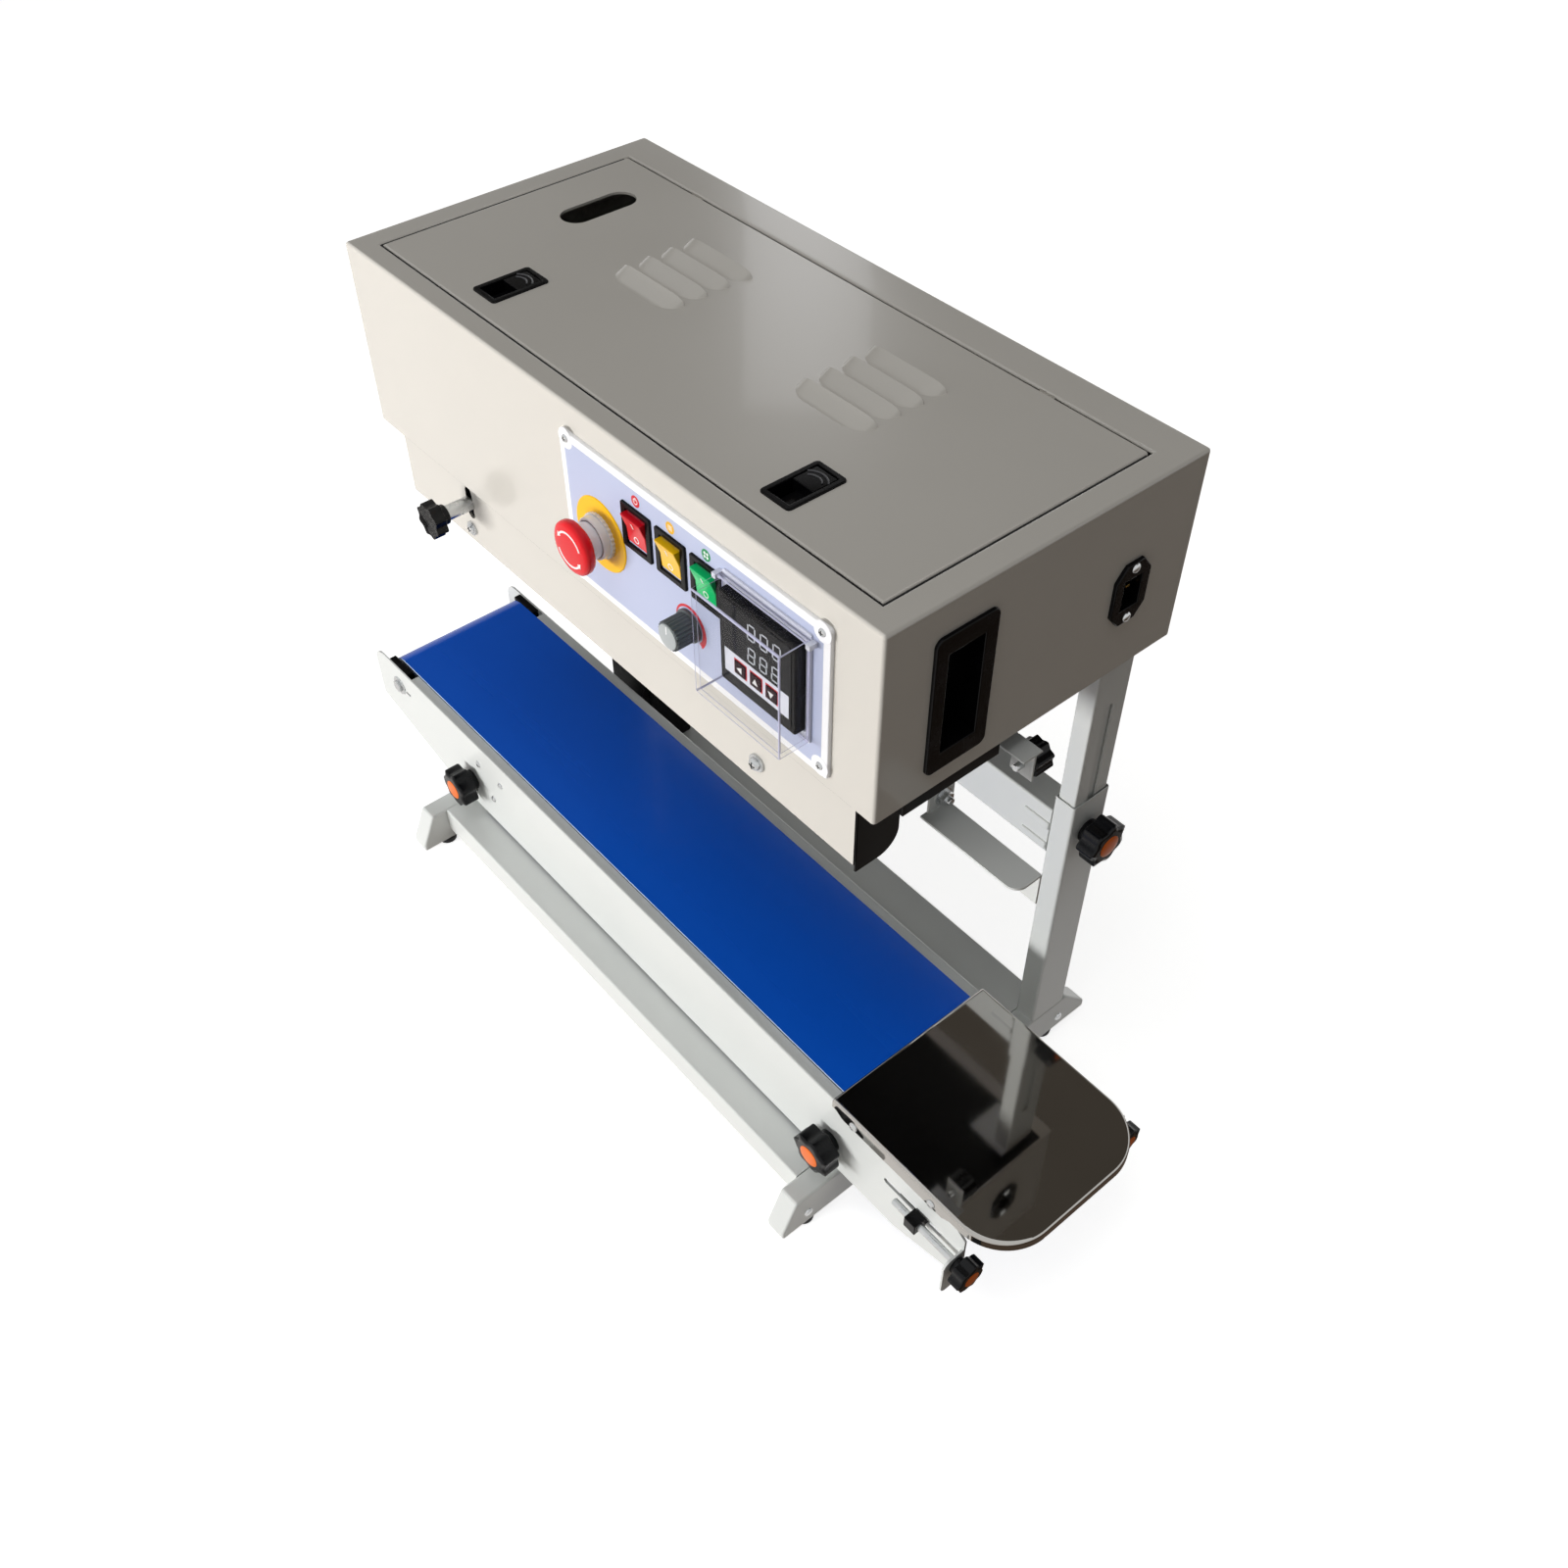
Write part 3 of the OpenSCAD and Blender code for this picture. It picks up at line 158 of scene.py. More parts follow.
# Feet: two lengths of 20 x 40 mm steel tube, both ends cut on a slant and welded shut.
# They carry the stand's pale grey powder coat, a satin paint with a very fine pebble.
# From here on, shapes are drawn in millimetres and turned into metres when a piece is placed.
def grained(name, colours, cloud_mm, grain_mm, depth_mm, rough, stretch=(1, 1, 1), **sockets):
    """Finish with slow drifts of tone and gloss, and a fine surface grain of a real size."""
    material = bpy.data.materials.new(name)
    material.use_nodes = True
    tree = material.node_tree
    where = add(tree, "ShaderNodeTexCoord").outputs["Object"]
    along = add(tree, "ShaderNodeMapping", {"Vector": where, "Scale": stretch}).outputs[0]
    cloud = add(tree, "ShaderNodeTexNoise", {"Vector": along, "Scale": 1000 / cloud_mm, "Detail": 3}).outputs[0]
    grain = add(tree, "ShaderNodeTexNoise", {"Vector": along, "Scale": 1000 / grain_mm, "Detail": 2}).outputs[0]
    tone = add(tree, "ShaderNodeMix", {0: cloud, 6: linear(colours[0]), 7: linear(colours[1])}, data_type="RGBA")
    gloss = add(tree, "ShaderNodeMapRange", {"Value": cloud, "From Min": 0.2, "From Max": 0.8,
                                             "To Min": rough[0], "To Max": rough[1]}, interpolation_type="SMOOTHSTEP")
    bump = add(tree, "ShaderNodeBump", {"Height": grain, "Strength": 0.6, "Distance": depth_mm / 1000})
    set_inputs(tree, tree.nodes["Principled BSDF"], {
        "Base Color": tone.outputs[2], "Roughness": gloss.outputs[0], "Normal": bump.outputs[0],
        **{key.replace("_", " ").title().replace("Ior", "IOR"): value for key, value in sockets.items()}})
    return material


def extruded(bm, outline, along):
    """Closed prism: an outline of points, pulled along a vector."""
    face = bm.faces.new([bm.verts.new(p) for p in outline])
    grown = bmesh.ops.extrude_face_region(bm, geom=[face])["geom"]
    moved = [v for v in grown if isinstance(v, bmesh.types.BMVert)]
    bmesh.ops.translate(bm, vec=along, verts=moved)
    bmesh.ops.recalc_face_normals(bm, faces=bm.faces)
    return moved


def soften(bm, width, pick=None, segments=3, sharp=30):
    """Rounds the edges that turn by more than an angle, or those of them that pick chooses."""
    edges = [e for e in bm.edges if e.calc_face_angle(0) > radians(sharp) and (pick is None or pick(e))]
    bmesh.ops.bevel(bm, geom=edges, offset=width, segments=segments, profile=0.5, affect="EDGES",
                    material=-1, clamp_overlap=False)


def place(bm, name, body, finish, hides=(), at=Matrix(), crease=38):
    """Turns millimetres into metres and makes the mesh a piece that rides on a body."""
    bmesh.ops.transform(bm, matrix=Matrix.Scale(0.001, 4) @ at, verts=bm.verts)
    for face in bm.faces:
        face.smooth = True
    for edge in bm.edges:
        edge.smooth = edge.calc_face_angle(0) < radians(crease)
    mesh = bpy.data.meshes.new(name)
    bm.to_mesh(mesh)
    bm.free()
    mesh.materials.append(finish)
    piece = bpy.data.objects.new(name, mesh)
    bpy.context.scene.collection.objects.link(piece)
    even = piece.modifiers.new("even_shading", "WEIGHTED_NORMAL")
    even.keep_sharp = True
    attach(piece, body)
    if hides:
        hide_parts(*hides)
    return piece


# Powder coat on steel: satin, so lamps show as broad soft glints; the pebble is about 1.8 mm.
stand_paint = grained("satin_powder_coat", ("d0d3d1", "dadcd9"), 120, 1.8, 0.02, (0.34, 0.42), coat_weight=0.15)

feet_low, feet_high = (1000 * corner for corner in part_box("foot_tubes"))
tube_w, toe, front_slant, rear_slant = 20, 8, 14.5, 29.5
bm = bmesh.new()
for x in (feet_low.x, feet_high.x - tube_w):
    profile = [(feet_low.y, feet_low.z), (feet_high.y, feet_low.z), (feet_high.y, feet_low.z + toe),
               (feet_high.y - rear_slant, feet_high.z), (feet_low.y + front_slant, feet_high.z),
               (feet_low.y, feet_low.z + toe)]
    extruded(bm, [(x, y, z) for y, z in profile], (tube_w, 0, 0))
soften(bm, 2.2, segments=4)
place(bm, "feet", "base", stand_paint, ["foot_tubes"])


# Rubber feet: four turned pads pushed into holes under the tubes, and the bolts through the tubes' sides.
# Black rubber is dull with a faint bloom; the bolts are zinc-plated pan heads.
def turned(bm, profile, centre, axis=(0, 0, 1), steps=40):
    """Spins a half outline of (radius, height) points round an axis, with poles and seam closed."""
    centre, axis = Vector(centre), Vector(axis).normalized()
    side = axis.orthogonal().normalized()
    known = set(bm.verts)
    verts = [bm.verts.new(centre + side * r + axis * h) for r, h in profile]
    edges = [bm.edges.new(pair) for pair in zip(verts, verts[1:])]
    bmesh.ops.spin(bm, geom=verts + edges, cent=centre, axis=axis, angle=2 * pi, steps=steps, use_merge=True)
    made = [v for v in bm.verts if v not in known]
    bmesh.ops.remove_doubles(bm, verts=made, dist=0.003)
    made = [v for v in bm.verts if v not in known]
    bmesh.ops.recalc_face_normals(bm, faces=list({f for v in made for f in v.link_faces}))


def pan_head(bm, centre, axis, r, h):
    """Domed screw head, from the face it sits on."""
    turned(bm, [(0, h), (0.45 * r, 0.96 * h), (0.8 * r, 0.68 * h), (0.97 * r, 0.25 * h), (r, 0), (0, 0)],
           centre, axis, 24)


# Moulded rubber: nearly matte, with a dusty drift of tone; its black also serves as painted shade in the head's seams
# and slot.
rubber_and_seam_shade = grained("moulded_rubber_and_painted_seam_shade", ("111112", "1b1b1c"), 20, 0.8, 0.03, (0.6, 0.75), specular_ior_level=0.25)
# Zinc-plated steel: bright, slightly cloudy plating.
zinc_steel = grained("zinc_plated_steel", ("b9bcbe", "d2d4d4"), 12, 0.6, 0.01, (0.2, 0.34), metallic=1.0)

pad_ys = (feet_low.y + 30, feet_high.y - 45)
bm = bmesh.new()
for x in (feet_low.x + tube_w / 2, feet_high.x - tube_w / 2):
    for y in pad_ys:
        turned(bm, [(0, 0), (8.2, 0), (9, 0.8), (9.8, 6.6), (9.4, 7.8), (0, 7.8)], (x, y, 0.1))
place(bm, "rubber_pads", "base", rubber_and_seam_shade, ["rubber_feet"])

bm = bmesh.new()
for x, out in ((feet_low.x, -1), (feet_high.x, 1)):
    for y in (feet_low.y + 27, feet_high.y - 36):
        pan_head(bm, (x - 0.2 * out, y, feet_low.z + 15), (out, 0, 0), 4.2, 2.4)
place(bm, "foot_bolts", "base", zinc_steel)


# Base plate: 2 mm sheet folded down at the front and back, welded between the feet.
# The folds are round, so a thin glint runs along them.
def copy_of(node):
    """Copy of a CAD node's mesh in millimetres, merged, with its flat faces whole."""
    bm = bmesh.new()
    bm.from_mesh(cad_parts[node].data)
    bmesh.ops.scale(bm, vec=(1000, 1000, 1000), verts=bm.verts)
    bmesh.ops.remove_doubles(bm, verts=bm.verts, dist=0.002)
    bmesh.ops.dissolve_limit(bm, angle_limit=radians(0.2), verts=bm.verts, edges=bm.edges)
    return bm


def lies(edge, axis, longer=0):
    """True for an edge that runs along an axis and is long enough."""
    run = edge.verts[1].co - edge.verts[0].co
    return run.length > longer and abs(run.normalized()[axis]) > 0.999


def rounded(node, name, body, finish, width, pick, segments=3, sharp=30, at=Matrix()):
    """Piece that keeps its CAD node's shape, with the edges that pick chooses rounded in its own frame."""
    bm = copy_of(node)
    bmesh.ops.transform(bm, matrix=at.inverted(), verts=bm.verts)
    soften(bm, width, pick, segments, sharp)
    return place(bm, name, body, finish, [node], at)


base_top = 1000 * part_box("base_plate")[1].z
rounded("base_plate", "folded_base", "base", stand_paint, 1.9,
        lambda e: lies(e, 0) and e.verts[0].co.z > base_top - 0.1)


# Columns: rectangular steel tube, the inner pair sliding in the outer pair.
# The tube's corners are drawn to a radius, and the clamp screws pass through the outer walls.
# A flat bar inside each inner tube lies behind its slot.
def block(bm, low, high):
    """Box between two corners."""
    low, high = Vector(low), Vector(high)
    size = Matrix.Diagonal((*(high - low), 1))
    return bmesh.ops.create_cube(bm, size=1, matrix=Matrix.Translation((low + high) / 2) @ size)["verts"]


bm = copy_of("outer_columns")
outer_top, column_y, tube_wall, slide_gap = 1000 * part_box("outer_columns")[1].z, 127, 1.5, 0.3
centres = (feet_low.x + tube_w / 2, feet_high.x - tube_w / 2)
outer = lambda e: lies(e, 2, 50) and min(abs(e.verts[0].co.x - x) for x in centres) > tube_w / 2 - 0.1
soften(bm, 2.4, outer, segments=4)
soften(bm, 0.4, lambda e: all(v.co.z > outer_top - 0.1 for v in e.verts), segments=2)
place(bm, "column_tubes", "base", stand_paint, ["outer_columns"])

bm = copy_of("inner_columns")
inner_half_w = (tube_w - 2 * tube_wall - 2 * slide_gap) / 2
soften(bm, 1.6, lambda e: lies(e, 2, 50)
       and min(abs(abs(e.verts[0].co.x - x) - inner_half_w) for x in centres) < 0.1)
place(bm, "column_slides", "head", stand_paint, ["inner_columns"])
bar_half, bar_z0, bar_z1 = 16.6, 196, 418
bm = bmesh.new()
for x, out in ((centres[0], -1), (centres[1], 1)):
    wall = sorted((x + out * (inner_half_w - 3.2), x + out * (inner_half_w - 2.4)))
    block(bm, (wall[0], column_y - bar_half, bar_z0), (wall[1], column_y + bar_half, bar_z1))
place(bm, "slot_bars", "head", stand_paint)


# Cross beam: a folded channel welded between the columns, open to the back.
# Two short ribs are pressed into its face beside each column to stiffen it.
beam_low, beam_high = (1000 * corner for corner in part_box("cross_beam"))
rounded("cross_beam", "folded_beam", "base", stand_paint, 1.9,
        lambda e: lies(e, 0) and e.verts[0].co.y < beam_low.y + 0.1)

rib_l, rib_h, rib_rise = 26, 8, 1.6
bm = bmesh.new()
for z in (beam_low.z + 7, beam_low.z + 29):
    for x in (beam_low.x, beam_high.x - rib_l):
        block(bm, (x, beam_low.y - rib_rise, z - rib_h / 2), (x + rib_l, beam_low.y + 1.5, z + rib_h / 2))
soften(bm, 1.5, segments=4)
place(bm, "beam_ribs", "base", stand_paint)


# Conveyor brackets: angle pieces on the base that the conveyor is clamped to.
# Their node also holds the drive box behind the conveyor, which has a section of its own.
drive_box_y = 50
bm = copy_of("conveyor_brackets")
bmesh.ops.delete(bm, geom=[v for v in bm.verts if v.co.y > drive_box_y], context="VERTS")
soften(bm, 0.4, lambda e: e.calc_length() > 2, segments=2)
place(bm, "clamp_brackets", "base", stand_paint, ["conveyor_brackets"])


# Clamp knobs: black lobed hand knobs moulded on a steel stud, with an orange cap pressed in.
# The moulding is satin with a soft edge all round; the cap is a glossier plastic.
def lobed(bm, r, lobes, low, high, soft, rise=0, depth=0.16):
    """Hand knob's head along +Z: a disc with a wavy rim of soft lobes, its face raised or dished."""
    known = set(bm.verts)
    ring = bmesh.ops.create_circle(bm, cap_ends=True, radius=r, segments=lobes * 16,
                                   matrix=Matrix.Translation((0, 0, low)))["verts"]
    for v in ring:
        wave = (0.5 + 0.5 * cos(lobes * atan2(v.co.y, v.co.x))) ** 0.8
        v.co.xy *= 1 - depth * wave
    face = ring[0].link_faces[0]
    for lift, scale in ((high - low, 1), (rise, 0.74)) if rise else ((high - low, 1),):
        grown = bmesh.ops.extrude_face_region(bm, geom=[face])["geom"]
        moved = [v for v in grown if isinstance(v, bmesh.types.BMVert)]
        bmesh.ops.scale(bm, vec=(scale, scale, 1), verts=moved)
        bmesh.ops.translate(bm, vec=(0, 0, lift), verts=moved)
        face = next(f for f in grown if isinstance(f, bmesh.types.BMFace))
    made = [v for v in bm.verts if v not in known]
    bmesh.ops.recalc_face_normals(bm, faces=list({f for v in made for f in v.link_faces}))
    rims = {e for v in made for e in v.link_edges
            if abs(e.verts[0].co.z - e.verts[1].co.z) < 0.01 and e.calc_face_angle(0) > 0.7}
    bmesh.ops.bevel(bm, geom=list(rims), offset=soft, segments=3, profile=0.5, affect="EDGES",
                    material=-1, clamp_overlap=False)


# Glass-filled nylon: black, satin, with a fine spark-eroded mould texture.
knob_nylon = grained("moulded_nylon", ("08090b", "0e0f12"), 15, 0.7, 0.015, (0.2, 0.3), specular_ior_level=0.2)
# Acetal cap: opaque orange with a smooth moulded face.
cap_orange = grained("moulded_acetal_orange", ("e06414", "ea7220"), 10, 0.9, 0.006, (0.28, 0.36),
                     specular_ior_level=0.25)


def clamp_knob(name, body, at, r, stud_l, stud_r=4):
    """Hand knob on a stud along +Z: the clamped face is at zero, the stud goes down from it."""
    bm = bmesh.new()
    lobed(bm, r, 7, 0.34 * r, 1.06 * r, 0.07 * r, rise=0.1 * r)
    turned(bm, [(0.5 * r, 0.4 * r), (0.5 * r, 0.6), (0.5 * r - 0.5, 0.1), (stud_r, 0.1)], (0, 0, 0))
    place(bm, name, body, knob_nylon, [body], at)
    bm = bmesh.new()
    turned(bm, [(0, 1.2 * r), (0.3 * r, 1.197 * r), (0.45 * r, 1.185 * r), (0.48 * r, 1.165 * r),
                (0.48 * r, 1.1 * r), (0, 1.1 * r)], (0, 0, 0))
    place(bm, name + "_cap", body, cap_orange, at=at)
    bm = bmesh.new()
    turned(bm, [(0, 1), (stud_r, 1), (stud_r, 1 - stud_l), (stud_r - 0.6, 0.2 - stud_l), (0, 0.2 - stud_l)],
           (0, 0, 0), steps=28)
    place(bm, name + "_stud", body, zinc_steel, at=at)


def facing(spot, axis):
    """Places a +Z shape at a spot, turned to point along an axis."""
    return Matrix.Translation(spot) @ Vector(axis).to_track_quat("Z", "Y").to_matrix().to_4x4()


clamp_r, knob_z, column_stud = 20.5, 287, 3.4
for side, x, out in (("left", feet_low.x, -1), ("right", feet_high.x, 1)):
    clamp_knob(side + "_column_grip", side + "_column_knob", facing((x, column_y, knob_z), (out, 0, 0)),
               clamp_r, column_stud)
conveyor_y, plate_half, clamp_z, conveyor_stud = -41, 80, 86, 8.3
for side, x in (("left", -270), ("right", 256)):
    clamp_knob(side + "_conveyor_grip", side + "_conveyor_knob",
               facing((x, conveyor_y - plate_half, clamp_z), (0, -1, 0)), clamp_r, conveyor_stud)


# Conveyor sides: two plates of 2 mm sheet, folded in along the top and out at the outfeed end.
# Same powder coat as the stand; the cut corners of the end tabs are rounded.
plates_high = 1000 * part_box("side_plates")[1]
bm = copy_of("side_plates")
tab_y = plates_high.y - conveyor_y - 1
on_top = lambda e: lies(e, 0, 50) and e.verts[0].co.z > plates_high.z - 0.1
soften(bm, 1.8, lambda e: on_top(e) and abs(e.verts[0].co.y - conveyor_y) > plate_half - 0.1)
soften(bm, 7, lambda e: lies(e, 0) and e.calc_length() < 3 and abs(e.verts[0].co.y - conveyor_y) > tab_y, segments=5)
soften(bm, 0.35, lambda e: e.calc_length() > 4 and abs(e.verts[0].co.y - conveyor_y) > plate_half - 0.1, segments=2)
place(bm, "conveyor_sides", "conveyor", stand_paint, ["side_plates"])


# Slider bed and rollers: a bare steel plate under the belt, and two turned aluminium tubes.
# They stay as the CAD has them, in a brushed finish that runs the way they were made.
def coat(finish, *nodes):
    """Gives CAD nodes that keep their shape a finish."""
    for node in nodes:
        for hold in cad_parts[node].material_slots:
            hold.material = finish


# Brushed steel: lines along X from the rolling mill, about 0.9 mm apart as drawn so that they show.
bed_steel = grained("brushed_steel", ("8f9193", "a9abac"), 60, 0.9, 0.01, (0.3, 0.42), (0.05, 1, 1), metallic=1.0)
# Turned aluminium: fine rings round the roller.
roller_alloy = grained("turned_aluminium", ("b4b6b8", "c9cacb"), 50, 0.8, 0.012, (0.28, 0.4), (0.2, 1, 0.2),
                       metallic=1.0)
coat(bed_steel, "slider_bed")
coat(roller_alloy, "drive_roller", "tension_roller")


# Belt: a loop of 2 mm PVC over a woven ply, blue and shiny on top, with the pale ply showing at its cut edges.
# Its surface is calendered, so the gloss has faint streaks along the belt.
belt_low, belt_high = (1000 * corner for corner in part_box("conveyor_belt"))
belt_t, belt_r, edge_gap = 2, (belt_high.z - belt_low.z) / 2, 0.4
belt_z = belt_low.z + belt_r
bm = bmesh.new()
ring = bmesh.ops.create_circle(bm, segments=96, radius=belt_r, matrix=Matrix.Rotation(pi / 2, 4, "X"))["verts"]
for v in ring:
    bend_x = belt_high.x - belt_r if v.co.x > 0 else belt_low.x + belt_r
    v.co += Vector((bend_x, belt_low.y + edge_gap, belt_z))
loop = bmesh.ops.extrude_edge_only(bm, edges=bm.edges[:])["geom"]
far_edge = [v for v in loop if isinstance(v, bmesh.types.BMVert)]
bmesh.ops.translate(bm, vec=(0, belt_high.y - belt_low.y - 2 * edge_gap, 0), verts=far_edge)
bmesh.ops.recalc_face_normals(bm, faces=bm.faces)
if sum((f.calc_center_median().z - belt_z) * f.normal.z for f in bm.faces) < 0:
    bmesh.ops.reverse_faces(bm, faces=bm.faces)
bmesh.ops.solidify(bm, geom=bm.faces[:], thickness=belt_t)
bmesh.ops.recalc_face_normals(bm, faces=bm.faces)
# Calendered PVC: saturated blue, glossy under a light film of wear; streaks 3 mm wide and long along X.
belt_blue = grained("calendered_pvc", ("0858d4", "0a66e6"), 90, 3, 0.012, (0.22, 0.34), (0.06, 1, 1),
                    specular_ior_level=0.25, coat_weight=0.15, coat_roughness=0.12)
belt = place(bm, "belt", "conveyor", belt_blue, ["conveyor_belt"])
# Woven polyester ply: pale, dull, with threads about 0.8 mm apart.
belt_ply = grained("woven_ply", ("9fb4cf", "c2d0e0"), 8, 0.8, 0.05, (0.7, 0.85))
belt.data.materials.append(belt_ply)
for face in belt.data.polygons:
    face.material_index = 1 if abs(face.normal.y) > 0.9 else 0


# Drive box: a black moulded cover over the conveyor's drive, on the base beside the infeed column.
# The photo shows only a strip of it below the head, so it is a plain box with soft edges.

# Moulded ABS: black, satin, softer to the eye than the knobs; the same black marks the screws' cross recesses as
# painted shade.
black_abs_and_recess_shade = grained("moulded_abs_and_painted_recess_shade", ("060607", "0b0b0d"), 18, 0.9, 0.01, (0.2, 0.3), specular_ior_level=0.12)
bm = copy_of("conveyor_brackets")
bmesh.ops.delete(bm, geom=[v for v in bm.verts if v.co.y < drive_box_y], context="VERTS")
soften(bm, 3, segments=4)
place(bm, "drive_box", "base", black_abs_and_recess_shade)


# Roller ends: a black moulded block closes each end of the infeed roller, and the outfeed axle
# has a threaded block on each side that its tension screw pulls.
rounded("drive_axle", "infeed_blocks", "conveyor", black_abs_and_recess_shade, 1.2, lambda e: e.calc_length() > 5)
rounded("tension_axle", "tension_blocks", "tension_axle", black_abs_and_recess_shade, 0.9,
        lambda e: e.calc_length() > 8 and abs(e.verts[0].co.y - conveyor_y) > plate_half)


# Tension screws: smaller knobs of the same kind on long bright rods, through the plates' end tabs.
# Turning them draws the outfeed axle's blocks along and so sets the belt's tension.
rod_x, rod_y, tension_z, rod_reach, rod_r = 402, plate_half + 7, 106, 67, 3
for side, sign in (("front", -1), ("rear", 1)):
    clamp_knob(side + "_tension_grip", side + "_tension_screw",
               facing((rod_x, conveyor_y + sign * rod_y, tension_z), (1, 0, 0)), clamp_r - 6, rod_reach, rod_r)


# Outfeed tray: mirror-polished stainless sheet, its rim rolled down all round and screwed to the plates.
# It reflects nearly all it sees; handling leaves faint cloudy smears in the polish.
tray_high = 1000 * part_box("outfeed_tray")[1]
bm = copy_of("outfeed_tray")
rim = lambda e: all(v.co.z > tray_high.z - 0.05 for v in e.verts)
soften(bm, 3, rim, segments=6)
soften(bm, 0.3, lambda e: e.calc_length() > 5 and e.verts[0].co.z < tray_high.z - 9, segments=2)
mirror = grained("mirror_stainless", ("a8a6a2", "b4b2ae"), 70, 30, 0.004, (0.025, 0.07), metallic=1.0)
place(bm, "mirror_tray", "conveyor", mirror, ["outfeed_tray"])


# Conveyor fixings: domed rivets by the left clamp, pan heads that hold the tray, and a nut
# with its washer on each end of the infeed axle.
rivet_spots = ((-253, 119), (-215, 119), (-234, 86))
tray_screw_xs, tray_screw_z = (282, 367), 139
axle_x, roller_z = -397, 121
bm = bmesh.new()
for out in (-1, 1):
    face_y = conveyor_y + out * plate_half
    for x, z in rivet_spots:
        pan_head(bm, (x, face_y, z), (0, out, 0), 3.5, 1.9)
    for x in tray_screw_xs:
        pan_head(bm, (x, face_y + out * 1.9, tray_screw_z), (0, out, 0), 4, 2)
    turned(bm, [(0, 1.6), (9.4, 1.6), (10, 1.1), (10, 0), (0, 0)], (axle_x, face_y, roller_z), (0, out, 0))
    bmesh.ops.create_cone(bm, cap_ends=True, segments=6, radius1=6.5, radius2=6.5, depth=2.4,
                          matrix=facing((axle_x, face_y + out * 2.8, roller_z), (0, out, 0)))
place(bm, "conveyor_fixings", "conveyor", zinc_steel, ["conveyor_screws"])


# Head case: 2 mm sheet folded into a box with an open underside, its top left as a rim round the lid.
# The folds have a radius of about 2.5 mm, so each edge carries a bright line.
# A thin black strip lies in the seam round the lid's front and sides, as painted shade for the gap.
case_low = 1000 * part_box("head_case")[0]
head_w, head_d, head_h = 588, 278, 151
HEAD = Matrix.Translation((case_low.x, case_low.y, case_low.z + head_h))


def head_copy(node):
    """Copy of a CAD node in the head's own frame: X along the head, Y to the back, top at zero."""
    bm = copy_of(node)
    bmesh.ops.transform(bm, matrix=HEAD.inverted(), verts=bm.verts)
    return bm


def on_faces(edge):
    """How many outer faces of the head's box an edge lies in."""
    a, b = (v.co for v in edge.verts)
    return sum(abs(a[i] - level) < 0.05 and abs(b[i] - level) < 0.05
               for i, level in ((0, 0), (0, head_w), (1, 0), (1, head_d), (2, 0)))


def flush(bm, near, far, notch, edge, below=2.6):
    """Sinks the hinge knuckles between two lines below the sheet, and closes the sheet's notches for them."""
    for v in bm.verts:
        if near < v.co.y < far:
            v.co.z = min(v.co.z, -below)
        elif abs(v.co.y - notch) < 0.05:
            v.co.y = edge
        elif v.co.y > near - 2:
            v.co.z = min(v.co.z, 0)
    bmesh.ops.remove_doubles(bm, verts=bm.verts, dist=0.02)


# Baked enamel on steel: glossy warm grey under a clear skin, with orange peel about 4 mm across.
head_enamel = grained("baked_enamel", ("cbc7bf", "d1cdc5"), 160, 4, 0.006, (0.2, 0.24), coat_weight=0.2,
                      coat_roughness=0.06, specular_ior_level=0.35)

hinge_y, guide_x, guide_notch_half, guide_notch_h = 241, 124, 4.6, 12
bm = head_copy("head_case")
soften(bm, 2.6, lambda e: on_faces(e) > 1, segments=4)
flush(bm, near=hinge_y, far=246.45, notch=247.3, edge=246.5)
for v in bm.verts:
    if v.co.y < 2.1 and v.co.z < guide_notch_h - head_h and abs(v.co.x - guide_x) < guide_notch_half:
        v.co.z = -head_h
soften(bm, 1.8, lambda e: on_faces(e) == 1 and abs(e.verts[0].co.z) < 0.05 and abs(e.verts[1].co.z) < 0.05
       and e.calc_length() > 5, segments=3)
place(bm, "case_shell", "head", head_enamel, ["head_case"], HEAD)
rim_side, rim_front, shade_strip_w, lap, shade_strip_low, shade_strip_top = 21, 18, 1.1, 0.02, -3.2, -0.8
# Black rubber strip down in the lid's seam: painted shade for the dark gap round the lid.
bm = bmesh.new()
block(bm, (rim_side + lap, rim_front + lap, shade_strip_low), (head_w - rim_side - lap, rim_front + shade_strip_w, shade_strip_top))
for x in (rim_side + lap, head_w - rim_side - shade_strip_w):
    block(bm, (x, rim_front + shade_strip_w, shade_strip_low), (x + shade_strip_w - lap, hinge_y, shade_strip_top))
place(bm, "lid_seam_painted_shade", "head", rubber_and_seam_shade, at=HEAD)


# Lid: one sheet with folded edges, hinged at the back, with eight pressed louvres, a hand hole
# and two latch openings. Each louvre is a smooth hood that swells up to its open rear edge.
louvre_l, louvre_d, louvre_h = 60, 15, 6
louvre_spots = [(x, 118.5 + 20.5 * i) for x in (172, 370) for i in range(4)]
bm = head_copy("lid")
hoods = [v for v in bm.verts if v.co.z > 0.05
         and any(x - 1 < v.co.x < x + louvre_l + 1 and y - 1 < v.co.y < y + louvre_d + 1 for x, y in louvre_spots)]
bmesh.ops.delete(bm, geom=hoods, context="VERTS")
flush(bm, near=243.25, far=260, notch=241.8, edge=243.2)
lid_left, lid_right, lid_front = 22.5, head_w - 22.5, 19.5
edge_of_lid = lambda v: min(abs(v.co.x - lid_left), abs(v.co.x - lid_right), abs(v.co.y - lid_front)) < 0.05
soften(bm, 1.9, lambda e: all(edge_of_lid(v) and abs(v.co.z) < 0.05 for v in e.verts), segments=4)
place(bm, "lid_sheet", "lid", head_enamel, ["lid"], HEAD)

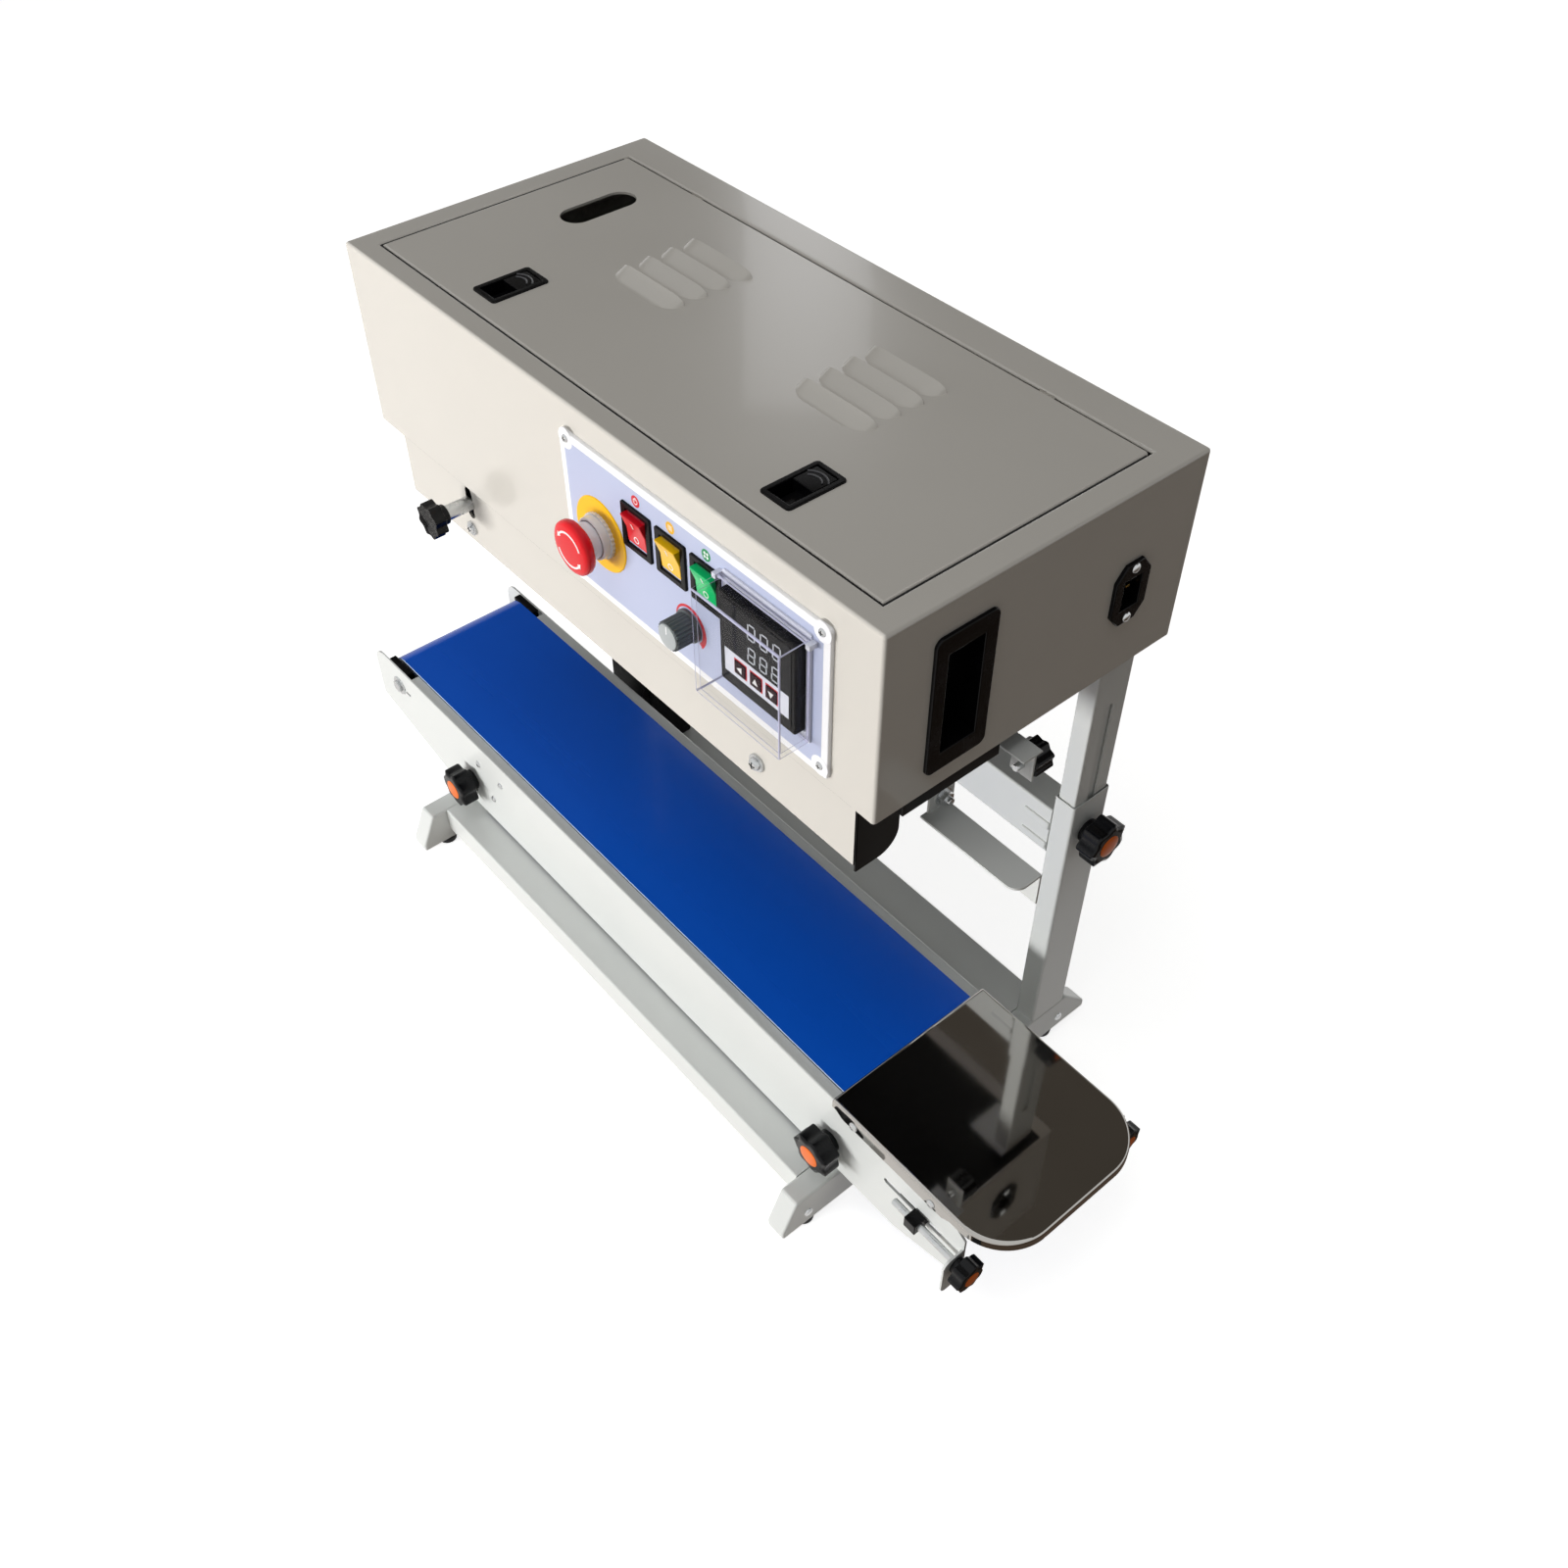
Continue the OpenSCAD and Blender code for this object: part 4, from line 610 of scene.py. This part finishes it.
hood_l, hood_start, hood_lap = louvre_l + 12, 5, 0.3
hood_d = louvre_d + 2 * hood_lap
bm = bmesh.new()
for x0, y0 in louvre_spots:
    known = set(bm.verts)
    bmesh.ops.create_grid(bm, x_segments=48, y_segments=14, size=0.5,
                          matrix=Matrix.Translation((x0 - hood_start + hood_l / 2, y0 + louvre_d / 2, 0))
                          @ Matrix.Diagonal((hood_l, hood_d, 1, 1)))
    hood = [v for v in bm.verts if v not in known]
    for v in hood:
        across = min(1, max(0, (v.co.y - y0 + hood_lap) / hood_d))
        along = abs(2 * (v.co.x - x0 + hood_start) / hood_l - 1)
        # The ends are rounded in plan: the front edge bends back over the last 0.42 of each half.
        nose = 0.96 - 0.96 * max(0, 1 - max(0, (along - 0.58) / 0.42) ** 2) ** 0.5
        v.co.y = y0 - hood_lap + hood_d * (nose + (1 - nose) * across)
        ramp = (across ** 2 + 0.01) ** 0.5 - 0.1
        v.co.z = louvre_h * max(0, 1 - along ** 8) ** 0.5 * ramp - 0.2
bmesh.ops.recalc_face_normals(bm, faces=bm.faces)
if sum(f.normal.z for f in bm.faces) < 0:
    bmesh.ops.reverse_faces(bm, faces=bm.faces)
bmesh.ops.solidify(bm, geom=bm.faces[:], thickness=0.9)
place(bm, "louvres", "lid", head_enamel, at=HEAD, crease=50)


# Latches: a black moulded frame let into the lid, and a slide with a thumb block in it
# that carries two curved ribs.
rounded("latch_frames", "latch_bezels", "lid", black_abs_and_recess_shade, 0.7,
        lambda e: e.calc_length() > 0.3 and all(v.co.z > 1.4 for v in e.verts), 2, at=HEAD)
latch_y, rib_r, rib_lean, rib_sweep = 57.5, 0.7, radians(42), radians(96)
# The same moulding in a lighter grey on the ribs: painted highlight for the glint along them.
rib_highlight_grey = grained("painted_rib_highlight", ("3c3c40", "4a4a4e"), 6, 0.8, 0.004, (0.22, 0.3))
for side, x in (("left", 136), ("right", 454)):
    rounded(side + "_latch", side + "_latch_slide", side + "_latch", black_abs_and_recess_shade, 0.8,
            lambda e: any(v.co.z > 0.5 for v in e.verts), 2, at=HEAD)
    bm = bmesh.new()
    for bow in (9, 13):
        about = (x, latch_y + 3, 1.05)
        lean = Matrix.Rotation(rib_lean, 4, "Z")
        start = Matrix.Translation(about) @ lean @ Matrix.Translation((bow, 0, 0)) @ Matrix.Rotation(pi / 2, 4, "X")
        ring = bmesh.ops.create_circle(bm, cap_ends=True, radius=rib_r, segments=8, matrix=start)["verts"]
        bmesh.ops.spin(bm, geom=[ring[0].link_faces[0]], cent=about, axis=(0, 0, 1), angle=rib_sweep, steps=16)
    bmesh.ops.recalc_face_normals(bm, faces=bm.faces)
    place(bm, side + "_latch_ribs", side + "_latch", rib_highlight_grey, at=HEAD)


# Control panel: a white moulded plate with round corners, screwed to the case, under a printed film.
# The film's field is a pale lavender grey that stops short of the edges and round each screw.
panel_x0, panel_x1, panel_z0, panel_z1, panel_y = 278, 548, -141, -20, -3
# Moulded ABS: clean white, softly shiny.
panel_white = grained("moulded_white_abs", ("ececee", "f4f4f6"), 60, 1.2, 0.006, (0.28, 0.36))
# Printed polyester film: fine matte emboss of about 0.6 mm over an even ink.
panel_ink = grained("printed_film", ("b0b7d2", "b9c0d9"), 90, 0.6, 0.004, (0.4, 0.5), coat_weight=0.1)
near_rim = lambda c: min(c.x - panel_x0, panel_x1 - c.x, c.z - panel_z0, panel_z1 - c.z) < 3.05
rounded("control_panel", "panel_plate", "head", panel_white, 0.9,
        lambda e: all(v.co.y < panel_y + 0.05 and near_rim(v.co) for v in e.verts), at=HEAD)
bm = bmesh.new()
block(bm, (panel_x0 + 6, panel_y - 0.12, panel_z0 + 6.5), (panel_x1 - 6, panel_y + 0.1, panel_z1 - 6))
place(bm, "panel_print", "head", panel_ink, at=HEAD)
bm = bmesh.new()
panel_screws = [(x, z) for x in (panel_x0 + 8, panel_x1 - 7) for z in (panel_z1 - 5, panel_z0 + 8)]
for x, z in panel_screws:
    turned(bm, [(0, 0.25), (7.6, 0.25), (7.8, 0), (0, 0)], (x, panel_y, z), (0, -1, 0))
place(bm, "screw_pads", "head", panel_white, at=HEAD)


# Head fixings: four cross-head screws in the panel, and two washered screws in the skirt below.
# They are zinc plated; the cross in each head is drawn as a flat black mark, painted shade for the recess.

# Each skirt screw's place, radius, height and washer radius.
skirt_screws = ((122, -193, 4, 2, 6), (474, -185, 5, 3.6, 7))
heads = [(x, panel_y - 0.2, z, 3, 1.5) for x, z in panel_screws]
heads += [(x, 0, z, r, h) for x, z, r, h, _ in skirt_screws]
bm, cross_shade = bmesh.new(), bmesh.new()
for x, y, z, r, h in heads:
    pan_head(bm, (x, y, z), (0, -1, 0), r, h)
    # Flat black marks on the domes: painted shade for the cross recesses.
    for wide, tall in ((0.55 * r, 0.1 * r), (0.1 * r, 0.55 * r)):
        block(cross_shade, (x - wide, y - h - 0.05, z - tall), (x + wide, y - h + 0.6, z + tall))
for x, z, _, _, r in skirt_screws:
    turned(bm, [(0, 0), (r - 0.3, 0), (r, 0.4), (r, 1.9), (0, 1.9)], (x, 0, z), (0, 1, 0))
place(bm, "head_fixings", "head", zinc_steel, ["head_screws"], HEAD)
place(cross_shade, "screw_cross_painted_shade", "head", black_abs_and_recess_shade, at=HEAD)


# Stop button: a yellow plate, a grey collar with a ribbed ring, and a red mushroom cap with turn arrows.
# The plate's lettering is left off; the arrows are white ink on the glossy cap.
stop_at = HEAD @ facing((318.5, panel_y, -84), (0, -1, 0))
# Glossy moulded plastics with an even colour and a faint flow of tone.
stop_yellow = grained("moulded_yellow", ("eeb404", "f5be0c"), 25, 1.5, 0.004, (0.3, 0.38), specular_ior_level=0.25)
collar_grey = grained("moulded_light_grey", ("d6d8db", "e2e4e6"), 15, 1.2, 0.006, (0.22, 0.3))
stop_red = grained("gloss_red_plastic", ("d20a18", "de1420"), 25, 2, 0.004, (0.2, 0.28), specular_ior_level=0.25)
ink_white = grained("white_ink", ("e9e9e9", "f3f3f3"), 8, 0.8, 0.003, (0.45, 0.55))
bm = bmesh.new()
turned(bm, [(0, 1), (27.4, 1), (28, 0.5), (28, 0), (0, 0)], (0, 0, 0), steps=72)
place(bm, "stop_plate", "head", stop_yellow, ["estop_collar"], stop_at)
bm = bmesh.new()
lobed(bm, 17, 30, 0.9, 3.6, 0.3, depth=0.03)
turned(bm, [(15.5, 3), (15.5, 8.2), (15, 9), (13.8, 9), (13.8, 2)], (0, 0, 0), steps=56)
place(bm, "stop_collar", "head", collar_grey, at=stop_at)
bm = bmesh.new()
block(bm, (303.5, 2.1, -99), (333.5, 40, -69))
block(bm, (306, 40, -96), (331, 44, -72))
soften(bm, 1)
place(bm, "stop_contacts", "head", black_abs_and_recess_shade, at=HEAD)
coat(zinc_steel, "estop_stem")
bm = bmesh.new()
turned(bm, [(0, 27), (9, 26.95), (15.4, 26.7), (18.2, 26), (19.6, 24.7), (20, 23), (19.9, 20.4), (19, 18.8),
            (17, 17.8), (13.4, 16.6), (13.4, 15.6), (6.1, 15.6)], (0, 0, 0), steps=72)
place(bm, "stop_cap", "estop_cap", stop_red, ["estop_cap"], stop_at)
bm = bmesh.new()
turned(bm, [(6.1, 16), (13.3, 16), (13.3, 9.2), (12.9, 8.8), (6.1, 8.8)], (0, 0, 0), steps=56)
place(bm, "stop_neck", "estop_cap", collar_grey, at=stop_at)
bm = bmesh.new()
arrow_r, arrow_w, arrow_z, arrow_sweep = 13, 1.5, 27, radians(122)
for start in (radians(20), radians(200)):
    turn = Matrix.Rotation(start, 4, "Z")
    ends = [bm.verts.new(turn @ Vector((arrow_r + s * arrow_w / 2, 0, arrow_z))) for s in (-1, 1)]
    bmesh.ops.spin(bm, geom=ends + [bm.edges.new(ends)], cent=(0, 0, 0), axis=(0, 0, 1), angle=arrow_sweep, steps=20)
    tip = turn @ Matrix.Rotation(arrow_sweep, 4, "Z")
    bm.faces.new([bm.verts.new(tip @ Vector(p)) for p in
                  ((arrow_r - 2, -0.2, arrow_z), (arrow_r + 2, -0.2, arrow_z), (arrow_r - 0.2, 3.6, arrow_z))])
bmesh.ops.recalc_face_normals(bm, faces=bm.faces)
for face in bm.faces:
    if face.normal.z < 0:
        face.normal_flip()
bmesh.ops.solidify(bm, geom=bm.faces[:], thickness=0.4)
place(bm, "stop_arrows", "estop_cap", ink_white, at=stop_at)


# Rocker switches: black bezels snapped into the panel, each with a translucent rocker on a cross pin.
# A bar and a ring are printed on each rocker, and a round coloured sign stands above it.
rounded("rocker_bezels", "switch_bezels", "head", black_abs_and_recess_shade, 0.7,
        lambda e: all(v.co.y < panel_y - 1.9 for v in e.verts), 2, at=HEAD)
# Each switch's purpose, place along the panel, slot, tints of its rocker and tints of its sign.
switches = (
    ("power", 362, "rocker_red", ("d8081a", "e51024"), ("c4121f", "cf1c28")),
    ("heater", 398, "rocker_yellow", ("f2b800", "f9c608"), ("e0a70d", "ecb51c")),
    ("fan", 434, "rocker_green", ("08c068", "14d27a"), ("0a7f45", "128c50")),
)
rocker_z, sign_z = -57, -33.5
for purpose, x, slot, tint, sign_tint in switches:
    node = purpose + "_rocker"
    # Translucent polycarbonate: deep colour, glossy, with some light let through.
    tinted = grained("tinted_polycarbonate_" + purpose, tint, 12, 3, 0.004, (0.14, 0.22), transmission_weight=0.06,
                     specular_ior_level=0.3)
    rounded(node, purpose + "_key", node, tinted, 0.9,
            lambda e: e.calc_length() > 3 and all(v.co.y < panel_y + 1 for v in e.verts), sharp=15, at=HEAD)
    # The ring and the bar lie on the rocker's two sloping faces.
    bm = bmesh.new()
    turned(bm, [(2.6, -0.5), (2.6, 0.12), (1.9, 0.12), (1.9, -0.5)], (0, 0, 0), steps=28)
    bmesh.ops.transform(bm, matrix=facing((x, -4.66, rocker_z - 6.4), (0, -11.6, -1)), verts=bm.verts)
    known = set(bm.verts)
    block(bm, (-0.5, -2.6, -0.5), (0.5, 2.6, 0.12))
    bmesh.ops.transform(bm, matrix=facing((x, -7.3, rocker_z + 5.8), (0, -11.6, -4.2)),
                        verts=[v for v in bm.verts if v not in known])
    place(bm, purpose + "_key_marks", node, ink_white, at=HEAD)
    sign_ink = grained("sign_ink_" + purpose, sign_tint, 10, 0.6, 0.003, (0.4, 0.5))
    bm = bmesh.new()
    turned(bm, [(0, 0.22), (4.3, 0.22), (4.3, 0), (0, 0)], (x, panel_y, sign_z), (0, -1, 0))
    place(bm, purpose + "_sign", "head", sign_ink, at=HEAD)
    bm = bmesh.new()
    if purpose == "power":
        turned(bm, [(2.3, 0.1), (2.3, 0.32), (1.7, 0.32), (1.7, 0.1)], (0, 0, 0), steps=28)
        block(bm, (-0.3, 0.4, 0.1), (0.3, 2.9, 0.34))
    elif purpose == "heater":
        for dx in (-1.5, 0, 1.5):
            block(bm, (dx - 0.3, -2, 0.1), (dx + 0.3, 2, 0.32))
    else:
        for i in range(4):
            turned(bm, [(0, 0.32), (1.05, 0.32), (1.05, 0.1), (0, 0.1)],
                   Matrix.Rotation(i * pi / 2 + pi / 4, 4, "Z") @ Vector((1.9, 0, 0)), steps=16)
    place(bm, purpose + "_sign_mark", "head", ink_white,
          at=HEAD @ facing((x, panel_y, sign_z), (0, -1, 0)))


# Speed control: a grey ribbed knob with a pale face, over a printed red scale that widens clockwise.
# A white line on the face points at the scale, whose words are left off.
speed_at = HEAD @ facing((413.5, panel_y, -102), (0, -1, 0))
# Moulded ABS in two greys, satin.
knob_grey = grained("moulded_mid_grey", ("4a5052", "565c5e"), 10, 0.8, 0.008, (0.34, 0.44), specular_ior_level=0.3)
face_grey = grained("moulded_soft_grey", ("a2a7a8", "aeb3b4"), 10, 0.8, 0.006, (0.3, 0.4))
scale_red = grained("red_scale_ink", ("c0202c", "cc2a36"), 12, 0.6, 0.003, (0.42, 0.5))
bm = bmesh.new()
lobed(bm, 11, 24, 1, 18, 0.5, depth=0.07)
turned(bm, [(12.2, 1), (12.2, 2.6), (11, 3.4), (10, 3.4)], (0, 0, 0))
place(bm, "speed_grip", "speed_knob", knob_grey, ["speed_knob"], speed_at)
bm = bmesh.new()
turned(bm, [(0, 19.4), (8.2, 19.4), (9.2, 18.9), (9.4, 17.5), (0, 17.5)], (0, 0, 0))
place(bm, "speed_face", "speed_knob", face_grey, at=speed_at)
bm = bmesh.new()
block(bm, (-0.45, 2.5, 19.2), (0.45, 8.8, 19.5))
place(bm, "speed_pointer", "speed_knob", ink_white, at=speed_at)
coat(zinc_steel, "speed_dial")
scale_from, scale_sweep = radians(225), radians(270)
bm = bmesh.new()
turn = Matrix.Rotation(scale_from, 4, "Z")
ends = [bm.verts.new(turn @ Vector((r, 0, 0.28))) for r in (13.4, 18)]
bmesh.ops.spin(bm, geom=ends + [bm.edges.new(ends)], cent=(0, 0, 0), axis=(0, 0, -1), angle=scale_sweep, steps=48)
for v in bm.verts:
    if v.co.xy.length > 15:
        share = (scale_from - atan2(v.co.y, v.co.x)) % (2 * pi) / scale_sweep
        v.co.xy *= (13.9 + 3.6 * share) / v.co.xy.length
for face in bm.faces:
    if face.normal.z < 0:
        face.normal_flip()
bmesh.ops.solidify(bm, geom=bm.faces[:], thickness=0.2)
place(bm, "speed_scale", "head", scale_red, at=speed_at)


# Temperature controller: a black square case behind the panel, with a glossy face, two rows of
# seven-segment digits, and a pale strip with three keys. Its printed words are left off.
control_at = HEAD @ facing((492, panel_y, -76), (0, -1, 0))
# Tinted acrylic window: near black, very smooth.
window_black = grained("tinted_window", ("0a0b0d", "111217"), 30, 4, 0.002, (0.1, 0.16), specular_ior_level=0.15)
strip_pale = grained("printed_strip", ("d3d6e2", "dddfe9"), 30, 0.7, 0.003, (0.32, 0.42))
digit_grey = grained("segment_lens", ("b4b7bf", "c4c7cf"), 6, 0.8, 0.003, (0.4, 0.5))
key_maroon = grained("rubber_key", ("1c0a10", "280d14"), 8, 0.9, 0.01, (0.45, 0.55), specular_ior_level=0.2)
rounded("temperature_controller", "controller_case", "head", black_abs_and_recess_shade, 1.4,
        lambda e: all(v.co.y < panel_y - 8.9 for v in e.verts), at=HEAD)
bm = bmesh.new()
block(bm, (-32.5, -32.5, 8.5), (32.5, 32.5, 9.4))
soften(bm, 2.5, lambda e: lies(e, 2), segments=5)
soften(bm, 0.3, lambda e: all(v.co.z > 9.3 for v in e.verts), segments=2)
place(bm, "controller_window", "head", window_black, at=control_at)
bm = bmesh.new()
block(bm, (-30.5, -25, 9.2), (30.5, -6.5, 9.55))
place(bm, "controller_strip", "head", strip_pale, at=control_at)
# Each segment's share of the digit's width and height, and whether it stands upright.
spots = {"a": (0.5, 1, 0), "d": (0.5, 0, 0), "g": (0.5, 0.5, 0), "f": (0, 0.75, 1), "e": (0, 0.25, 1),
         "b": (1, 0.75, 1), "c": (1, 0.25, 1)}
strokes = {"0": "abcdef", "8": "abcdefg"}
bm = bmesh.new()
for text, left, base, tall in (("000", -8, 14.5, 11.5), ("888", -8, -3.4, 11)):
    wide, thick = 0.56 * tall, 0.1 * tall
    for i, sign in enumerate(text):
        x0 = left + i * 1.02 * tall
        for stroke in strokes[sign]:
            across, up, tallwise = spots[stroke]
            half = (thick / 2, 0.21 * tall) if tallwise else (wide / 2 - 0.6 * thick, thick / 2)
            lean = 0.09 * up * tall
            block(bm, (x0 + across * wide - half[0] + lean, base + up * tall - half[1], 9.2),
                  (x0 + across * wide + half[0] + lean, base + up * tall + half[1], 9.5))
place(bm, "controller_digits", "head", digit_grey, at=control_at)
keys, rims, arrows = bmesh.new(), bmesh.new(), bmesh.new()
for x, turn in ((-15, pi / 2), (0, 0), (15, pi)):
    block(rims, (x - 6, -21.5, 9.4), (x + 6, -9.5, 9.75))
    block(keys, (x - 5.2, -20.7, 9.5), (x + 5.2, -10.3, 10.6))
    spin = Matrix.Translation((x, -15.5, 0)) @ Matrix.Rotation(turn, 4, "Z")
    extruded(arrows, [spin @ Vector(p) for p in ((-2.6, -2, 10.5), (2.6, -2, 10.5), (0, 2.6, 10.5))], (0, 0, 0.25))
soften(keys, 0.8, segments=3)
place(rims, "key_rims", "head", scale_red, at=control_at)
place(keys, "controller_keys", "head", key_maroon, at=control_at)
place(arrows, "key_arrows", "head", ink_white, at=control_at)


# Flip-up cover: a clear acrylic box on two pins, in a pale frame round the controller.
# Its glued and moulded edges carry a painted highlight: a pale lilac, nearly opaque finish for the light they catch.
frame_pale = grained("moulded_pale_plastic", ("c9cbd8", "d4d6e0"), 25, 1, 0.005, (0.3, 0.4))
rounded("cover_frame", "cover_surround", "head", frame_pale, 0.4,
        lambda e: e.calc_length() > 3, 2, at=HEAD)
# Clear acrylic, 2 mm thick: its faces hardly show; its edges are painted pale lilac, a painted highlight for the
# light they gather.
acrylic = grained("clear_acrylic", ("1e2029", "282a34"), 60, 20, 0.001, (0.05, 0.09), alpha=0.04)
acrylic_edge_highlight = grained("acrylic_edge_highlight", ("c4c4e2", "d4d5f0"), 20, 6, 0.001, (0.12, 0.2), alpha=0.72)
cover = rounded("controller_cover", "clear_cover", "controller_cover", acrylic, 0.95,
                lambda e: e.calc_length() > 12, at=HEAD)
cover.data.materials.append(acrylic_edge_highlight)
rim_y = -0.124
# Rim and rounded edge faces take the pale lilac finish: painted highlight.
for face in cover.data.polygons:
    rim = face.normal.y > 0.9 and face.center.y > rim_y
    face.material_index = 1 if rim or max(abs(c) for c in face.normal) < 0.97 else 0


# Lifting handles: black moulded pockets let into both ends of the case, with a rounded frame.
# The pockets are deep enough for four fingers, so their insides look dark.
rounded("lifting_handles", "pocket_handles", "head", black_abs_and_recess_shade, 1.1,
        lambda e: all(v.co.x > head_w + 2.4 or v.co.x < -2.4 for v in e.verts), at=HEAD)


# Power inlet: a black moulded socket with three flat pins, held by two screws.
# The lead plugs in here, and none is fitted.
inlet_y, inlet_z, screw_pitch = 218, -82, 40
bm = head_copy("power_inlet")
for v in bm.verts:
    if v.co.x > head_w - 0.05 and max(abs(v.co.y - inlet_y) - 12, abs(v.co.z - inlet_z) - 24) > 0:
        wide, tall = (1.18, 1.08) if abs(v.co.z - inlet_z) < 14 else (1.33, 0.94)
        v.co.y = inlet_y + wide * (v.co.y - inlet_y)
        v.co.z = inlet_z + tall * (v.co.z - inlet_z)
soften(bm, 0.9, lambda e: all(v.co.x > head_w + 2.9 for v in e.verts))
place(bm, "inlet_socket", "head", black_abs_and_recess_shade, ["power_inlet"], HEAD)
# Brass pins: warm, slightly tarnished.
pin_brass = grained("rolled_brass", ("b08d4a", "c6a35c"), 10, 0.8, 0.008, (0.25, 0.36), metallic=1.0)
bm = bmesh.new()
for dy, dz in ((3.6, 0), (-3.6, 6.6), (-3.6, -6.6)):
    block(bm, (head_w - 18, inlet_y + dy - 2, inlet_z + dz - 1), (head_w - 3, inlet_y + dy + 2, inlet_z + dz + 1))
soften(bm, 0.4, segments=2)
place(bm, "inlet_pins", "head", pin_brass, at=HEAD)
bm = bmesh.new()
for dz in (-screw_pitch / 2, screw_pitch / 2):
    pan_head(bm, (head_w + 2.9, inlet_y, inlet_z + dz), (1, 0, 0), 3.6, 1.6)
place(bm, "inlet_screws", "head", zinc_steel, at=HEAD)


# Skirt and entry guide: an enamelled plate below the case's front, slotted for the guide's stud.
# The plate laps over the end guard's edge, and a thin black strip in its joint with the case is painted shade for the
# gap.
# The stud carries a small black hand knob in front of a steel sleeve.
skirt_end = head_w - 18.4
bm = head_copy("skirt_plate")
for v in bm.verts:
    if v.co.x > head_w - 22:
        v.co.x = skirt_end
soften(bm, 0.5, lambda e: e.calc_length() > 20, segments=2)
skirt = place(bm, "skirt", "head", head_enamel, ["skirt_plate"], HEAD)
# The skirt's faces that look along +X, at its end and in its slot, take the black rubber as painted shade.
skirt.data.materials.append(rubber_and_seam_shade)
for face in skirt.data.polygons:
    face.material_index = 1 if face.normal.x > 0.9 else 0
# Black strip in the joint under the case: painted shade for the gap.
bm = bmesh.new()
block(bm, (30, 0.6, -head_h - 1), (head_w - 21, 2, -head_h))
place(bm, "skirt_seam_painted_shade", "head", rubber_and_seam_shade, at=HEAD)
guide = rounded("inlet_guide", "entry_guide", "inlet_guide", zinc_steel, 0.4,
                lambda e: e.calc_length() > 4, 2, at=HEAD)
guide.data.materials.append(black_abs_and_recess_shade)
for face in guide.data.polygons:
    face.material_index = 1 if face.center.y > (case_low.y + 2.5) / 1000 else 0
bm = bmesh.new()
lobed(bm, 15, 8, 6, 16, 0.9, rise=-1.4)
turned(bm, [(4.1, 0), (7.6, 0), (8, 0.5), (8, 6.5)], (0, 0, 0))
place(bm, "guide_grip", "guide_knob", knob_nylon, ["guide_knob"],
      HEAD @ facing((guide_x, -20, -168), (0, -1, 0)))


# Outfeed: a black guard beside the bag's way out, an angle that holds the bag's top,
# and a small bracket with the pressure knob behind it.

# Satin black paint on steel.
black_paint = grained("satin_black_paint", ("080808", "0d0c0c"), 60, 1.5, 0.012, (0.3, 0.4), specular_ior_level=0.12)
rounded("end_guard", "outfeed_guard", "head", black_paint, 0.6,
        lambda e: e.calc_length() > 0.5, 2, at=HEAD)
rounded("outfeed_arm", "outfeed_angle", "head", stand_paint, 0.5,
        lambda e: e.calc_length() > 6, 2, at=HEAD)
bolt_x, bolt_y, bolt_z = 572, 79, -191
bm = bmesh.new()
turned(bm, [(0, 0.9), (7, 0.9), (7, 0), (0, 0)], (bolt_x, bolt_y, bolt_z), (1, 0, 0))
bmesh.ops.create_cone(bm, cap_ends=True, segments=6, radius1=5.6, radius2=5.6, depth=4.8,
                      matrix=facing((bolt_x + 3, bolt_y, bolt_z), (1, 0, 0)))
turned(bm, [(0, 8.6), (2.6, 8.4), (3, 7.8), (3, 0), (0, 0)], (bolt_x, bolt_y, bolt_z), (1, 0, 0), 24)
place(bm, "angle_bolt", "head", zinc_steel, at=HEAD)
pressure_at = (586, 141.1, -190)
bm = bmesh.new()
lobed(bm, 13, 8, 0, 16.5, 0.9, rise=1.4)
place(bm, "pressure_grip", "pressure_knob", knob_nylon, ["pressure_knob"],
      HEAD @ facing(pressure_at, (0, 1, 0)))
bm = bmesh.new()
turned(bm, [(0, 1), (3, 1), (3, -8.4), (2.4, -9), (0, -9)], pressure_at, (0, 1, 0), 24)
place(bm, "pressure_stud", "pressure_knob", zinc_steel, at=HEAD)


# Sealing mechanism: the carrier plate with its fan, the wheels, bands and blocks under it, and the gear motor.
# These keep their CAD shapes and show from below and under the raised lid.

# Glass-cloth band: brown, coated, dull with a fine weave.
band_cloth = grained("coated_glass_cloth", ("6a4526", "7d5530"), 20, 0.8, 0.02, (0.4, 0.55))
# Moulded belt rubber for the two guide belts.
guide_rubber = grained("belt_rubber", ("141415", "1e1e1f"), 20, 1.2, 0.03, (0.55, 0.7))
# Cast aluminium: grainy and pale, for the motor and its gearbox.
motor_cast = grained("cast_aluminium", ("8d9092", "a3a6a8"), 30, 1.4, 0.05, (0.45, 0.6), metallic=0.9)
coat(black_paint, "mechanism_plate")
coat(knob_nylon, "fan_rotor")
coat(pin_brass, "heating_blocks")
coat(roller_alloy, "cooling_blocks")
coat(band_cloth, "sealing_bands")
coat(guide_rubber, "guide_belts")
coat(zinc_steel, "front_drive_wheel", "rear_drive_wheel", "front_idler_wheel", "rear_idler_wheel")
coat(motor_cast, "drive_motor")
